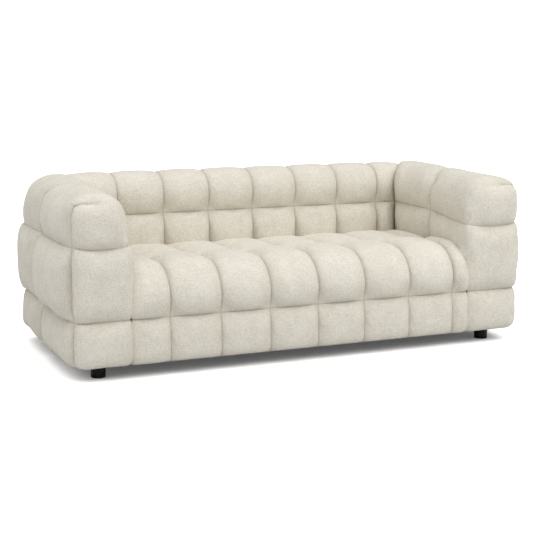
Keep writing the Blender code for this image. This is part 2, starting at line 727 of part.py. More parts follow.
    def arm_covers(self):
        """Quilted cover of each arm, mitred where it meets the back."""
        block = arm_block()
        lines = (
            panel_lines((ARM_IN, ARM_OUT), ARM_PANEL_CUTS),
            panel_lines((FRONT, ARM_CROSS, REAR), ARM_PANEL_CUTS),
            panel_lines((UNDERSIDE, LOW_SEAM, HIGH_SEAM, ARM_HEIGHT), ARM_ROW_CUTS),
        )
        for side, sign in SIDES:
            shape = block.build(lines, arm_shift, arm_puff)
            shape = slice_off(shape, (ARM_IN, BACK_FACE - GAP, 0), (-1, 1, 0))
            cover = add_mesh(f"arm_cover_{side}", handed(shape, sign), self.parts, "boucle_fabric")
            hollow = handed(block.inset(COVER_THICKNESS).build(), sign)
            cut_away(cover, self.cutter(f"arm_hollow_{side}", hollow))
            passage = cube_between((0, FRONT + COVER_LIP, -FAR),
                                   (ARM_OUT - COVER_LIP, REAR - COVER_LIP, CORE_OPENING))
            cut_away(cover, self.cutter(f"arm_passage_{side}", handed(passage, sign)))

    def back_cover(self):
        """Quilted cover of the back, with mitred ends; its front stops below the seat."""
        block = back_block()
        columns = column_seams()
        lines = (
            panel_lines([-MITRE_END] + columns + [MITRE_END], BACK_PANEL_CUTS),
            panel_lines((BACK_FACE, REAR), BACK_PANEL_CUTS),
            panel_lines((UNDERSIDE, LOW_SEAM, HIGH_SEAM, BACK_HEIGHT), BACK_PANEL_CUTS),
        )
        shape = block.build(lines, None, back_puff)
        for _, sign in SIDES:
            shape = slice_off(shape, (sign * (ARM_IN - GAP), BACK_FACE, 0), (sign, -1, 0))
        cover = add_mesh("back_cover", shape, self.parts, "boucle_fabric")
        hollow = block.inset(COVER_THICKNESS)
        hollow.low.x = -FAR
        hollow.high.x = FAR
        cut_away(cover, self.cutter("back_hollow", hollow.build()))
        below = cube_between((-FAR, -FAR, -FAR), (FAR, REAR - COVER_LIP, CORE_OPENING))
        cut_away(cover, self.cutter("back_passage", below))

    def seat_cover(self):
        """Quilted cover of the seat and its front, open below and behind."""
        block = seat_block()
        columns = column_seams()
        lines = (
            panel_lines([-SEAT_END] + columns + [SEAT_END], SEAT_PANEL_CUTS),
            panel_lines((FRONT, SEAT_CROSS, SEAT_REAR), SEAT_RUN_CUTS),
            panel_lines((UNDERSIDE, LOW_SEAM, SEAT_HEIGHT), SEAT_PANEL_CUTS),
        )
        cover = add_mesh("seat_cover", block.build(lines, None, seat_puff), self.parts, "boucle_fabric")
        hollow = block.inset(COVER_THICKNESS)
        hollow.high.y = FAR
        cut_away(cover, self.cutter("seat_hollow", hollow.build()))
        below = cube_between((-FAR, FRONT + COVER_LIP, -FAR), (FAR, FAR, CORE_OPENING))
        cut_away(cover, self.cutter("seat_passage", below))

    def build(self):
        """Make every piece."""
        self.base_frame()
        self.feet()
        self.underside()
        self.arm_frames()
        self.back_frame()
        self.seat_springs()
        self.seat_padding()
        self.arm_padding()
        self.back_padding()
        self.arm_covers()
        self.back_cover()
        self.seat_cover()


def main():
    """Clear the scene and build the sofa."""
    clear_scene()
    Sofa().build()


if __name__ == "__main__":
    main()
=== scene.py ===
"""Looks of a box-quilted three-seater sofa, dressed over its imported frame.

Metres, +Z up. The sofa's front faces -Y and its length runs along X.
Left and right are as seen by someone facing the sofa.
"""
import math

import bpy
import numpy as np
from mathutils import Matrix, Vector


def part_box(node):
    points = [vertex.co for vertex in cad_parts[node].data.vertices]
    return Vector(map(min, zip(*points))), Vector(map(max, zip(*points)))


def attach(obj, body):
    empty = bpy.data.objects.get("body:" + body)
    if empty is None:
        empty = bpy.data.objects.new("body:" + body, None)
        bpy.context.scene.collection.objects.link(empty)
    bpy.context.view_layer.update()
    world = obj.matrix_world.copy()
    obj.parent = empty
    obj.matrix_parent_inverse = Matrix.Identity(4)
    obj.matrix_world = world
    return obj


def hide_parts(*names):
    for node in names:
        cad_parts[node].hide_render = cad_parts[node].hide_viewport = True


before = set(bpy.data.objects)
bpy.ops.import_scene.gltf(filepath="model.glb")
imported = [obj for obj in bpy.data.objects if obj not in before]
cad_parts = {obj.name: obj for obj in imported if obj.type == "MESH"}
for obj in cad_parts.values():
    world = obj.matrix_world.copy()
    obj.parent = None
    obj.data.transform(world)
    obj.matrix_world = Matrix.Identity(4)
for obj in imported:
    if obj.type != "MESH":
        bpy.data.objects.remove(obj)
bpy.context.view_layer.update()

bl_info = {
    "name": "Box-quilted sofa",
    "version": (1, 0, 0),
    "blender": (4, 5, 0),
    "location": "3D View > Sidebar > Sofa",
    "description": "Quilted covers, feet, finishes and a studio for a three-seater sofa",
    "category": "Object",
}

BODY = "root"
SIDES = ("left", "right")
CORNERS = ("front_left", "front_right", "rear_left", "rear_right")
STRAP_COUNT = 3

# Soft edges of the covers; the blend is counted in top radii below the top
EDGE_RADIUS = 0.05
JOINT_RADIUS = 0.012
SEAT_SHOULDER_RADIUS = 0.05
REAR_CORNER_RADIUS = 0.10
ARM_TOP_RADIUS = 0.11
ARM_TOP_DROP = 0.13
ARM_FRONT_TOP_RADIUS = 0.06
CAP_INNER_RADIUS = 0.10
CAP_OUTER_RADIUS = 0.05
CAP_INNER_DROP = 0.11
CAP_OUTER_DROP = 0.05
CAP_BLEND = 0.25
BACK_TOP_RADIUS = 0.09
SEAT_NOSE_RADIUS = 0.125
BOTTOM_RADIUS = 0.045
TOP_BLEND_START = 1.9
TOP_BLEND_END = 0.6

# How panels swell away from their seams: reach of the swell, then depth of the seams
SWELL_POWER = 2.4
PANEL_REACH = 0.09
TOP_REACH = 0.12
FRONT_REACH = 0.10
CROSS_REACH = 0.14
CROSS_FRONT_REACH = 0.10
OUTER_ROW_REACH = 0.14
COLUMN_DEPTH = 0.66
ROW_DEPTH = 0.8
SEAT_CROSS_DEPTH = 0.6
TOP_NOTCH = 0.4
ARM_TOP_NOTCH = 0.6
KNOT_DEPTH = 0.9
KNOT_REACH = 0.045

# Seam over an arm's front end, counted from the inner side, where it runs out
CAP_FADE_START = 0.05
CAP_FADE_END = 0.15
CAP_DEPTH = 0.45

# Painted shade along the seams; it reaches further behind a panel that stands over its seam
SHADE_REACH = 0.022
OVERSHADOWED = 0.14
CAP_FADE = 0.06

# Narrowest column of panels that may be left at an end of the seat
NARROWEST_COLUMN = 0.06

# Place of the seam round an arm's front panel, and how far tops and high seams come down
FRONT_SEAM_BACK = 0.03
FRONT_SEAM_TOP = 0.012
FRONT_SEAM_TURN = 0.06
FRONT_FALL = 0.02
REAR_FALL = 0.03
ARM_SEAM_DROP = 0.03
ARM_SEAM_SAG = 0.012

# Share of their height that an arm's panels keep at its edges and its rear, and the run over
# which they change near its front
OUTER_TOP_PART = 0.3
INNER_TOP_PART = 0.4
FRONT_TOP_PART = 0.4
LOW_REAR_PART = 0.5
FRONT_BLEND = 0.15

# Joints of the covers: creases of the arms against the seat, tucks of the seat, and the mitre
CREASE_BELOW = 0.06
CREASE_ABOVE = 0.10
SEAT_TUCK = 0.005
SEAT_REAR_REACH = 0.16
SEAT_SIDE_GAP = 0.001
SIDE_TUCK = 0.02
TUCK_RUN = 0.2
MITRE_BLEND = 0.16
MITRE_GAP = 0.0005

# Underside of the covers: width of their lip, and the heights drawn up behind it
COVER_LIP = 0.034
RECESS_LEVEL = 0.066
RECESS_TOP = 0.12

# Mesh of the covers: spacing of the lines and how far they crowd towards the seams
LINE_SPACING = 0.013
CROWDING = 0.6
FEWEST_CUTS = 6
TOUCH = 1e-6

# Plumping of the covers by air pressure: share of the height before it, frames, furthest move
PLUMP_START = 0.93
PLUMP_FRAMES = 20
PLUMP_CAP = 0.012
PLUMP_CLOTH = {
    "quality": 4,
    "mass": 0.4,
    "tension_stiffness": 15,
    "compression_stiffness": 15,
    "shear_stiffness": 5,
    "bending_stiffness": 0.5,
    "air_damping": 2,
    "vertex_group_mass": "pins",
    "shrink_min": -0.012,
    "use_pressure": True,
    "uniform_pressure_force": 4.0,
}

# Feet: rounding of their rims, steps in that rounding, sides, shine and darker tone
FOOT_RIM = 0.003
RIM_STEPS = 5
FOOT_SIDES = 72
FOOT_SHINE = 0.1
FOOT_DARK = 0.6

# Cloths inside and under the sofa
CLOTH_CELL = 0.02
DUST_CLOTH_MARGIN = 0.012
DUST_CLOTH_SAG = 0.004
DUST_CLOTH_DARK = 0.5
BOLT_HOLE = 0.011
FELT_RIPPLE = 0.0005
STRAP_BOW = 0.0015

# Range of a noise that holds most of its values, and how far streaks change the roughness
NOISE = {"From Min": 0.35, "From Max": 0.65}
ROUGHNESS_SPREAD = 0.1

# Finishes of the pieces inside, by the frame's material slot: name, light and dark tone,
# length and width of the streaks, roughness, relief, metallic
INNER_FINISHES = {
    # Sawn pine: pale wood, darker late-wood lines along the board, dull from the saw
    "pine": ("sawn_pine", "#DDBF92", "#BE9460", 0.25, 0.0035, 0.75, 0.0003, 0.0),
    # Birch plywood: calm pale face with faint wide flames, lightly sanded
    "plywood": ("birch_plywood", "#DFC9A4", "#CDB283", 0.18, 0.009, 0.6, 0.0001, 0.0),
    # Hardboard: pressed wood fibre, brown and speckled, with a slight shine
    "fibreboard": ("pressed_hardboard", "#8C6B49", "#6E5236", 0.002, 0.0015, 0.5, 0.0001, 0.0),
    # Drawn spring steel: grey wire with fine marks along its length
    "spring_steel": ("drawn_spring_steel", "#86888A", "#5E6062", 0.02, 0.0006, 0.35, 0.00003, 1.0),
    # Zinc-plated steel: bright bluish grey with a faint mottle
    "zinc_steel": ("zinc_plated_steel", "#CDD2D6", "#AEB4B9", 0.004, 0.003, 0.3, 0.00002, 1.0),
    # Elastic webbing: tightly woven brown band, dull, with a fine rib
    "webbing": ("woven_elastic_webbing", "#6A5743", "#3F3327", 0.004, 0.0016, 0.9, 0.0004, 0.0),
    # Needled felt: matted grey waste fibre, soft and dull
    "felt": ("needled_felt", "#9A958B", "#6F6B63", 0.006, 0.003, 0.95, 0.0008, 0.0),
}

# Studio light: brightness of the surround, then the lamps with their settings and places
SURROUND = 0.45
LAMPS = (
    ("key", "SUN", {"energy": 1.6, "angle": math.radians(70)}, (0.0, -0.32, 0.94)),
    ("right", "AREA", {"energy": 60, "size": 2.5}, (3.2, -4.2, 3.2)),
    ("left", "AREA", {"energy": 22, "size": 2.5}, (-4.5, -1.5, 2.6)),
)

# Floor: its reach, its glow and lifted colour where it is seen, which keep it white around a
# dark shadow, and the share of its colour that it gives back to the sofa
FLOOR_REACH = 20.0
FLOOR_GLOW = 0.06
FLOOR_LIFT = 1.9
FLOOR_BOUNCE = 0.7

# Camera, fitted to the photograph's vanishing lines; the focal length is in pixels of its frame
FRAME_PIXELS = 533
FOCAL_PIXELS = 1250
SENSOR = 36.0
CAMERA_PLACE = (-2.285, -5.255, 1.2996)
CAMERA_YAW = math.radians(23.414)
CAMERA_PITCH = math.radians(9.472)


def linear(code):
    """Linear colour of an sRGB hex code."""
    values = [int(code[place:place + 2], 16) / 255 for place in (1, 3, 5)]
    return tuple(v / 12.92 if v <= 0.04045 else ((v + 0.055) / 1.055) ** 2.4 for v in values)


def length(name, description, default):
    """Property for a size in metres."""
    return bpy.props.FloatProperty(
        name=name, description=description, default=default, min=0.0, unit="LENGTH", precision=4
    )


def colour(name, description, code):
    """Property for a colour, given as an sRGB hex code."""
    return bpy.props.FloatVectorProperty(
        name=name, description=description, default=linear(code), subtype="COLOR", min=0.0, max=1.0
    )


class SofaSizes(bpy.types.PropertyGroup):
    """Sizes of the covers, taken between their sewn seams."""

    seat_width: length("Seat width", "Between the two arms", 1.634)
    arm_width: length("Arm width", "From the inner to the outer side of an arm", 0.229)
    seat_depth: length("Seat depth", "From the front of the sofa to the back", 0.74)
    back_depth: length("Back depth", "From the face of the back to its rear", 0.205)
    underside: length("Underside", "Clear height under the covers", 0.05)
    seat_height: length("Seat height", "Level of the seat's seams", 0.435)
    arm_height: length("Arm height", "Level of the arms' top", 0.752)
    back_height: length("Back height", "Level of the back's top", 0.745)
    low_seam: length("Low seam", "Height of the seam round the base", 0.25)
    high_seam: length("High seam", "Height of the seam round arms and back", 0.586)
    column_pitch: length("Column pitch", "Distance between upright seams", 0.2245)
    column_shift: length("Column shift", "Middle seam's distance from the middle", 0.0275)
    front_lean: length("Front lean", "How far the right arm comes in at the front", 0.035)
    seat_cross: length("Seat cross seam", "Distance of the seat's cross seam from the front", 0.325)
    arm_inner_seam: length("Arm inner seam", "Distance from the front, on the inner side", 0.365)
    arm_outer_seam: length("Arm outer seam", "Distance from the front, on the outer side", 0.51)


class SofaFill(bpy.types.PropertyGroup):
    """How far each kind of filled panel stands above its seams."""

    low: length("Low row", "Panels of the lowest row", 0.03)
    arm_outer: length("Arm outer side", "Middle row of an arm's outer side", 0.038)
    arm_outer_front: length("Arm outer side, front", "The same, ahead of the cross seam", 0.066)
    arm_inner: length("Arm inner side", "Middle row of an arm's inner side", 0.024)
    arm_front: length("Arm front", "Middle row of an arm's front", 0.036)
    arm_top: length("Arm top", "Top row of an arm", 0.03)
    back_lower: length("Back, lower row", "Panels you lean on", 0.056)
    back_upper: length("Back, upper row", "Panels over the top edge", 0.042)
    back_rear: length("Back, rear", "Panels behind", 0.0275)
    seat_front: length("Seat front", "Panels over the seat's nose", 0.04)
    seat_top: length("Seat top", "Panels towards the back", 0.022)


class SofaColours(bpy.types.PropertyGroup):
    """Colours of the finishes."""

    cloth: colour("Cloth", "Face of the looped upholstery cloth", "#F2EEE4")
    # Darker tone that the cloth takes where its pile lies low: painted shade in the hollows between
    # the loops
    cloth_shade: colour("Cloth shade", "Hollows between the loops", "#CCC5B5")
    # Colour of the dark line along each seam, partly the seam's own dark and partly painted crease
    # shade, and of the painted shade that fades away from it
    painted_seam_shade: colour("Seam shade", "Cloth drawn into a seam", "#A79F8E")
    feet: colour("Feet", "Moulded feet", "#0B0B0B")
    dust_cloth: colour("Dust cloth", "Cloth under the sofa", "#1B1B1C")
    floor: colour("Floor", "Studio floor", "#F7F7F7")


class Plan:
    """Places worked out from the sizes."""

    def __init__(self, sizes):
        self.sizes = sizes
        self.arm_in = sizes.seat_width / 2
        self.arm_out = self.arm_in + sizes.arm_width
        self.front = -(sizes.seat_depth + sizes.back_depth) / 2
        self.back_face = self.front + sizes.seat_depth
        self.rear = self.back_face + sizes.back_depth
        self.mitre_width = sizes.back_depth / 2
        self.mitre_end = self.arm_in + self.mitre_width
        self.seat_end = self.arm_in - SEAT_SIDE_GAP
        self.seat_cross = self.front + sizes.seat_cross
        self.arm_cross = self.front + (sizes.arm_inner_seam + sizes.arm_outer_seam) / 2
        count = math.floor((self.seat_end - NARROWEST_COLUMN) / sizes.column_pitch)
        steps = np.arange(-count, count + 1)
        self.columns = sizes.column_shift + sizes.column_pitch * steps

    def lean_at(self, y):
        """How far the right arm's inner side has come in at some distance from the back."""
        return self.sizes.front_lean * ramp(y, self.back_face, self.front)

    def fall_at(self, x, y):
        """How far the top has come down towards the sofa's rear corners."""
        out = ease(np.abs(x), self.arm_in - self.mitre_width, self.arm_out)
        return REAR_FALL * out * ease(y, self.back_face, self.rear)

    def arm_cross_at(self, x):
        """Place of the seam across an arm, which slants from its inner to its outer side."""
        part = (x - self.arm_in) / self.sizes.arm_width
        return self.front + mix(self.sizes.arm_inner_seam, self.sizes.arm_outer_seam, part)

    def arm_end_at(self, x):
        """Rear end of an arm: the curved mitre where it meets the back, then the sofa's rear."""
        part = ramp(x, self.arm_in, self.mitre_end)
        curve = self.sizes.back_depth * (1 - np.sqrt(1 - part))
        gap = np.where(part < 1 - TOUCH, MITRE_GAP, 0.0)
        return self.back_face + curve + np.minimum(x - self.arm_in, 0.0) - gap

    def back_end_at(self, y):
        """End of the back: the same mitre, seen from its other side."""
        part = ramp(y, self.back_face, self.rear)
        curve = self.mitre_width * (2 - part) * part
        return self.arm_in + curve + np.minimum(y - self.back_face, 0.0) - MITRE_GAP


def ramp(value, start, end):
    """Straight rise from 0 at start to 1 at end."""
    return np.clip((value - start) / (end - start), 0.0, 1.0)


def ease(value, start, end):
    """Smooth step from 0 at start to 1 at end."""
    part = ramp(value, start, end)
    return part * part * (3 - 2 * part)


def mix(first, second, part):
    """Value between two others."""
    return first + (second - first) * part


def swell(gap, reach, depth=1.0):
    """Share of its full height that a filled panel has at some gap from a seam of some depth."""
    short = 1 - ramp(gap, 0.0, reach)
    return 1 - depth * (1 - np.sqrt(1 - short ** SWELL_POWER))


def row_swell(z, low, high, low_depth=ROW_DEPTH, high_depth=ROW_DEPTH, most=PANEL_REACH):
    """Swell between a lower and an upper seam."""
    reach = np.minimum(most, (high - low) / 2)
    return swell(z - low, reach, low_depth) * swell(high - z, reach, high_depth)


def seam_gap(values, seams):
    """Gap to the nearest of several seams."""
    return np.abs(values[:, None] - np.asarray(seams)).min(axis=1)


def each(points, values):
    """Values for the three axes at each point; a single number holds for all points."""
    return np.stack([np.broadcast_to(value, len(points)) for value in values], axis=1)


def joint_radius(z, sizes):
    """Radius of the front edge where the seat and an arm meet: close, but round at the bottom."""
    off_bottom = ease(z, sizes.underside, sizes.underside + BOTTOM_RADIUS)
    return mix(BOTTOM_RADIUS, JOINT_RADIUS, off_bottom)


def knot(gap, other):
    """Share of a panel's height that is left near a crossing of two seams, where it is drawn in."""
    return 1 - KNOT_DEPTH * np.exp(-(gap ** 2 + other ** 2) / KNOT_REACH ** 2)


def draw_up(points, recess, underside):
    """Draw points behind a cover's lip up, so that its underside lies over the dust cloth."""
    z = points[recess, 2]
    part = (z - underside) / (RECESS_TOP - underside)
    points[recess, 2] = np.where(z < RECESS_TOP, mix(RECESS_LEVEL, RECESS_TOP, part), z)


def cut_lines(seams):
    """Lines over a run of panels: the seams, and lines between that crowd towards them."""
    lines = [seams[:1]]
    for start, end in zip(seams, seams[1:]):
        cuts = max(FEWEST_CUTS, round((end - start) / LINE_SPACING))
        steps = np.arange(1, cuts + 1) / cuts
        steps = mix(steps, 0.5 - 0.5 * np.cos(np.pi * steps), CROWDING)
        lines.append(mix(start, end, steps))
    return np.concatenate(lines)


def grid_quads(number):
    """Quads between the neighbours in a grid of point numbers."""
    loops = (number[:-1, :-1], number[1:, :-1], number[1:, 1:], number[:-1, 1:])
    return np.stack(loops, axis=-1).reshape(-1, 4)


def box_grid(*seams):
    """Points and outward quads of a box, cut at its seams along each axis and between them."""
    xs, ys, zs = (cut_lines(np.array(places)) for places in seams)
    counts = (len(xs), len(ys), len(zs))
    surface = np.ones(counts, bool)
    surface[1:-1, 1:-1, 1:-1] = False
    number = np.full(counts, -1)
    number[surface] = np.arange(surface.sum())
    i, j, k = np.nonzero(surface)
    points = np.stack((xs[i], ys[j], zs[k]), axis=1)
    quads = []
    for axis in range(3):
        for end in (0, -1):
            face = grid_quads(number.take(end, axis=axis))
            outward = (end == -1) != (axis == 1)
            quads.append(face if outward else face[:, ::-1])
    return points, np.concatenate(quads)


def soft_block(points, low, high):
    """Points of a plain box moved onto one with rounded edges, and their outward normals.

    low and high each hold a corner of the box, the radii of its three sides and the radii that
    they change over to near the top, for all points or for each of them.
    """
    top = high[0][2]
    reach = each(points, high[1])[:, 2:]
    part = ease(points[:, 2:], top - TOP_BLEND_START * reach, top - TOP_BLEND_END * reach)
    core = points.copy()
    lean = np.zeros_like(points)
    radius = np.ones_like(points)
    normal = np.zeros_like(points)
    for sign, sides in ((-1, low), (1, high)):
        face, radii, top_radii = (each(points, values) for values in sides)
        rounding = mix(radii, top_radii, part)
        depth = sign * (face - points)
        curved = (rounding > 0) & (depth < rounding)
        safe = np.where(rounding > 0, rounding, 1.0)
        lean = np.where(curved, sign * (1 - depth / safe), lean)
        core = np.where(curved, face - sign * rounding, core)
        radius = np.where(curved, rounding, radius)
        normal = np.where(~curved & (depth < TOUCH), sign, normal)
    extent = np.abs(lean).max(axis=1, keepdims=True)
    size = np.linalg.norm(lean, axis=1, keepdims=True)
    lean *= np.where(extent > 0, extent / np.maximum(size, TOUCH), 1.0)
    normal = np.where(extent > 1 - TOUCH, lean / radius, normal)
    normal /= np.maximum(np.linalg.norm(normal, axis=1, keepdims=True), TOUCH)
    return core + lean * radius, normal


def stacked(z, sizes, upper, most=PANEL_REACH):
    """Swell of the low and the middle row, with that of the upper row given."""
    middle = row_swell(z, sizes.low_seam, sizes.high_seam, most=most)
    low = row_swell(z, sizes.underside, sizes.low_seam, 1.0)
    return np.where(z <= sizes.low_seam, low, np.where(z <= sizes.high_seam, middle, upper))


def seat_shape(plan, fill):
    """Points, quads, gaps to the seams and held points of the seat, which runs down its front."""
    sizes = plan.sizes
    rear = plan.back_face - fill.back_lower
    plain, quads = box_grid(
        (-plan.seat_end, *plan.columns, plan.seat_end),
        (plan.front, plan.seat_cross, rear),
        (sizes.underside, sizes.low_seam, sizes.seat_height),
    )
    x, y, z = plain.T
    columns = seam_gap(x, plan.columns)
    between = swell(columns, PANEL_REACH, COLUMN_DEPTH)
    side = plan.seat_end - np.abs(x)
    across = between * swell(side + SIDE_TUCK, PANEL_REACH)
    on_front = y < plan.front + TOUCH
    nose = sizes.seat_height - sizes.low_seam
    behind = y > plan.seat_cross
    gone = np.where(on_front, z - sizes.low_seam, nose + y - plan.front)
    along = row_swell(gone, 0.0, nose + sizes.seat_cross, ROW_DEPTH, SEAT_CROSS_DEPTH)
    rear_row = swell(y - plan.seat_cross, PANEL_REACH, SEAT_CROSS_DEPTH)
    rear_row *= swell(rear + SEAT_TUCK - y, SEAT_REAR_REACH)
    along = np.where(behind, rear_row, along)
    low = on_front & (z <= sizes.low_seam)
    along = np.where(low, row_swell(z, sizes.underside, sizes.low_seam, 1.0), along)
    height = np.where(low, fill.low, np.where(behind, fill.seat_top, fill.seat_front))
    rows = np.where(on_front, np.abs(z - sizes.low_seam), np.abs(y - plan.seat_cross))
    hidden = ~on_front & (z < sizes.seat_height - TOUCH) | (z < sizes.underside + TOUCH)
    puff = np.where(hidden, 0.0, height * across * along * knot(columns, rows))
    place, normal = soft_block(
        plain,
        ((-plan.seat_end, plan.front, sizes.underside),
         (JOINT_RADIUS, joint_radius(z, sizes), BOTTOM_RADIUS),
         (SEAT_SHOULDER_RADIUS, SEAT_NOSE_RADIUS, BOTTOM_RADIUS)),
        ((plan.seat_end, rear, sizes.seat_height),
         (JOINT_RADIUS, 0.0, SEAT_NOSE_RADIUS),
         (SEAT_SHOULDER_RADIUS, 0.0, SEAT_NOSE_RADIUS)),
    )
    normal[y > rear - TOUCH] = (0.0, 0.0, 1.0)
    normal[np.abs(x) > plan.seat_end - TOUCH, 0] = 0.0
    start = place + normal * (puff * PLUMP_START)[:, None]
    back_across = between * swell(plan.arm_in - np.abs(x), PANEL_REACH)
    start[:, 1] += fill.back_lower * (1 - back_across) * ease(y, rear - TUCK_RUN, rear)
    gap = np.where(hidden, 0.0, np.minimum(np.minimum(columns, rows), side))
    draw_up(start, y > plan.front + COVER_LIP, sizes.underside)
    last = plan.columns[-1]
    start[:, 0] -= plan.lean_at(y) * ramp(x, last, plan.seat_end)
    return start, quads, gap, hidden


def back_shape(plan, fill):
    """Points, quads, gaps to the seams and held points of the back, with mitred ends."""
    sizes = plan.sizes
    plain, quads = box_grid(
        (-plan.mitre_end, *plan.columns, plan.mitre_end),
        (plan.back_face, plan.rear),
        (sizes.underside, sizes.low_seam, sizes.high_seam, sizes.back_height),
    )
    sign = np.sign(plain[:, 0])
    last = np.where(sign > 0, plan.columns[-1], -plan.columns[0])
    end_part = ramp(sign * plain[:, 0], last, plan.mitre_end)
    at_end = end_part > 1 - TOUCH
    mitre = plan.back_end_at(plain[:, 1])
    plain[:, 0] = np.where(end_part > 0, sign * mix(last, mitre, end_part), plain[:, 0])
    x, y, z = plain.T
    on_face = y < plan.back_face + TOUCH
    on_top = z > sizes.back_height - TOUCH
    to_top = ease(z, sizes.high_seam, sizes.back_height)
    columns = seam_gap(x, plan.columns)
    across = swell(columns, PANEL_REACH, mix(COLUMN_DEPTH, TOP_NOTCH, to_top))
    across *= swell(mitre - np.abs(x), PANEL_REACH, mix(1.0, TOP_NOTCH, to_top))
    over = np.where(on_top, np.minimum(y - plan.back_face, plan.rear - y), 0.0)
    up = stacked(z, sizes, swell(z - sizes.high_seam + over, TOP_REACH, ROW_DEPTH))
    height = mix(fill.back_upper, fill.back_rear, (y - plan.back_face) / sizes.back_depth)
    middle_height = np.where(on_face, fill.back_lower, fill.back_rear)
    low = z <= sizes.low_seam
    height = np.where(low, fill.low, np.where(z <= sizes.high_seam, middle_height, height))
    rows = np.where(on_top, BACK_TOP_RADIUS, seam_gap(z, (sizes.low_seam, sizes.high_seam)))
    inside = at_end & ~on_face & ~on_top & (y < plan.rear - TOUCH)
    hidden = (z < sizes.underside + TOUCH) | (on_face & low) | inside
    puff = np.where(hidden, 0.0, height * across * up * knot(columns, rows))
    place, normal = soft_block(
        plain,
        ((-plan.arm_out, plan.back_face, sizes.underside),
         (0.0, BOTTOM_RADIUS, BOTTOM_RADIUS),
         (0.0, BACK_TOP_RADIUS, BOTTOM_RADIUS)),
        ((plan.arm_out, plan.rear, sizes.back_height),
         (0.0, BOTTOM_RADIUS, BACK_TOP_RADIUS),
         (0.0, BACK_TOP_RADIUS, BACK_TOP_RADIUS)),
    )
    normal[:, 0] = 0.0
    start = place + normal * (puff * PLUMP_START)[:, None]
    start[:, 2] -= to_top * plan.fall_at(x, y)
    gap = np.minimum(np.minimum(columns, rows), np.where(on_top, rows, mitre - np.abs(x)))
    gap = np.where(hidden, 0.0, gap)
    start[:, 0] += sign * end_part * (plan.back_end_at(start[:, 1]) - mitre)
    draw_up(start, y < plan.rear - COVER_LIP, sizes.underside)
    return start, quads, gap, hidden | at_end


def arm_grid(plan):
    """Plain box of the right arm, its lines bent along its seams and along the mitre."""
    sizes = plan.sizes
    seam = plan.front + FRONT_SEAM_BACK
    plain, quads = box_grid(
        (plan.arm_in, plan.mitre_end, plan.arm_out),
        (plan.front, seam, plan.arm_cross, plan.rear),
        (sizes.underside, sizes.low_seam, sizes.high_seam, sizes.arm_height),
    )
    x, y, z = plain.T
    turn = ease(z, sizes.arm_height - FRONT_SEAM_TURN, sizes.arm_height)
    bent = plan.front + mix(FRONT_SEAM_BACK, FRONT_SEAM_TOP, turn)
    cross = plan.arm_cross_at(x)
    cap_part = ramp(y, plan.front, seam)
    front_part = ramp(y, seam, plan.arm_cross)
    rear_part = ramp(y, plan.arm_cross, plan.rear)
    ahead = mix(mix(plan.front, bent, cap_part), cross, front_part)
    plain[:, 1] = mix(ahead, plan.arm_end_at(x), rear_part)
    return plain, quads, bent, cap_part < 1 - TOUCH, rear_part


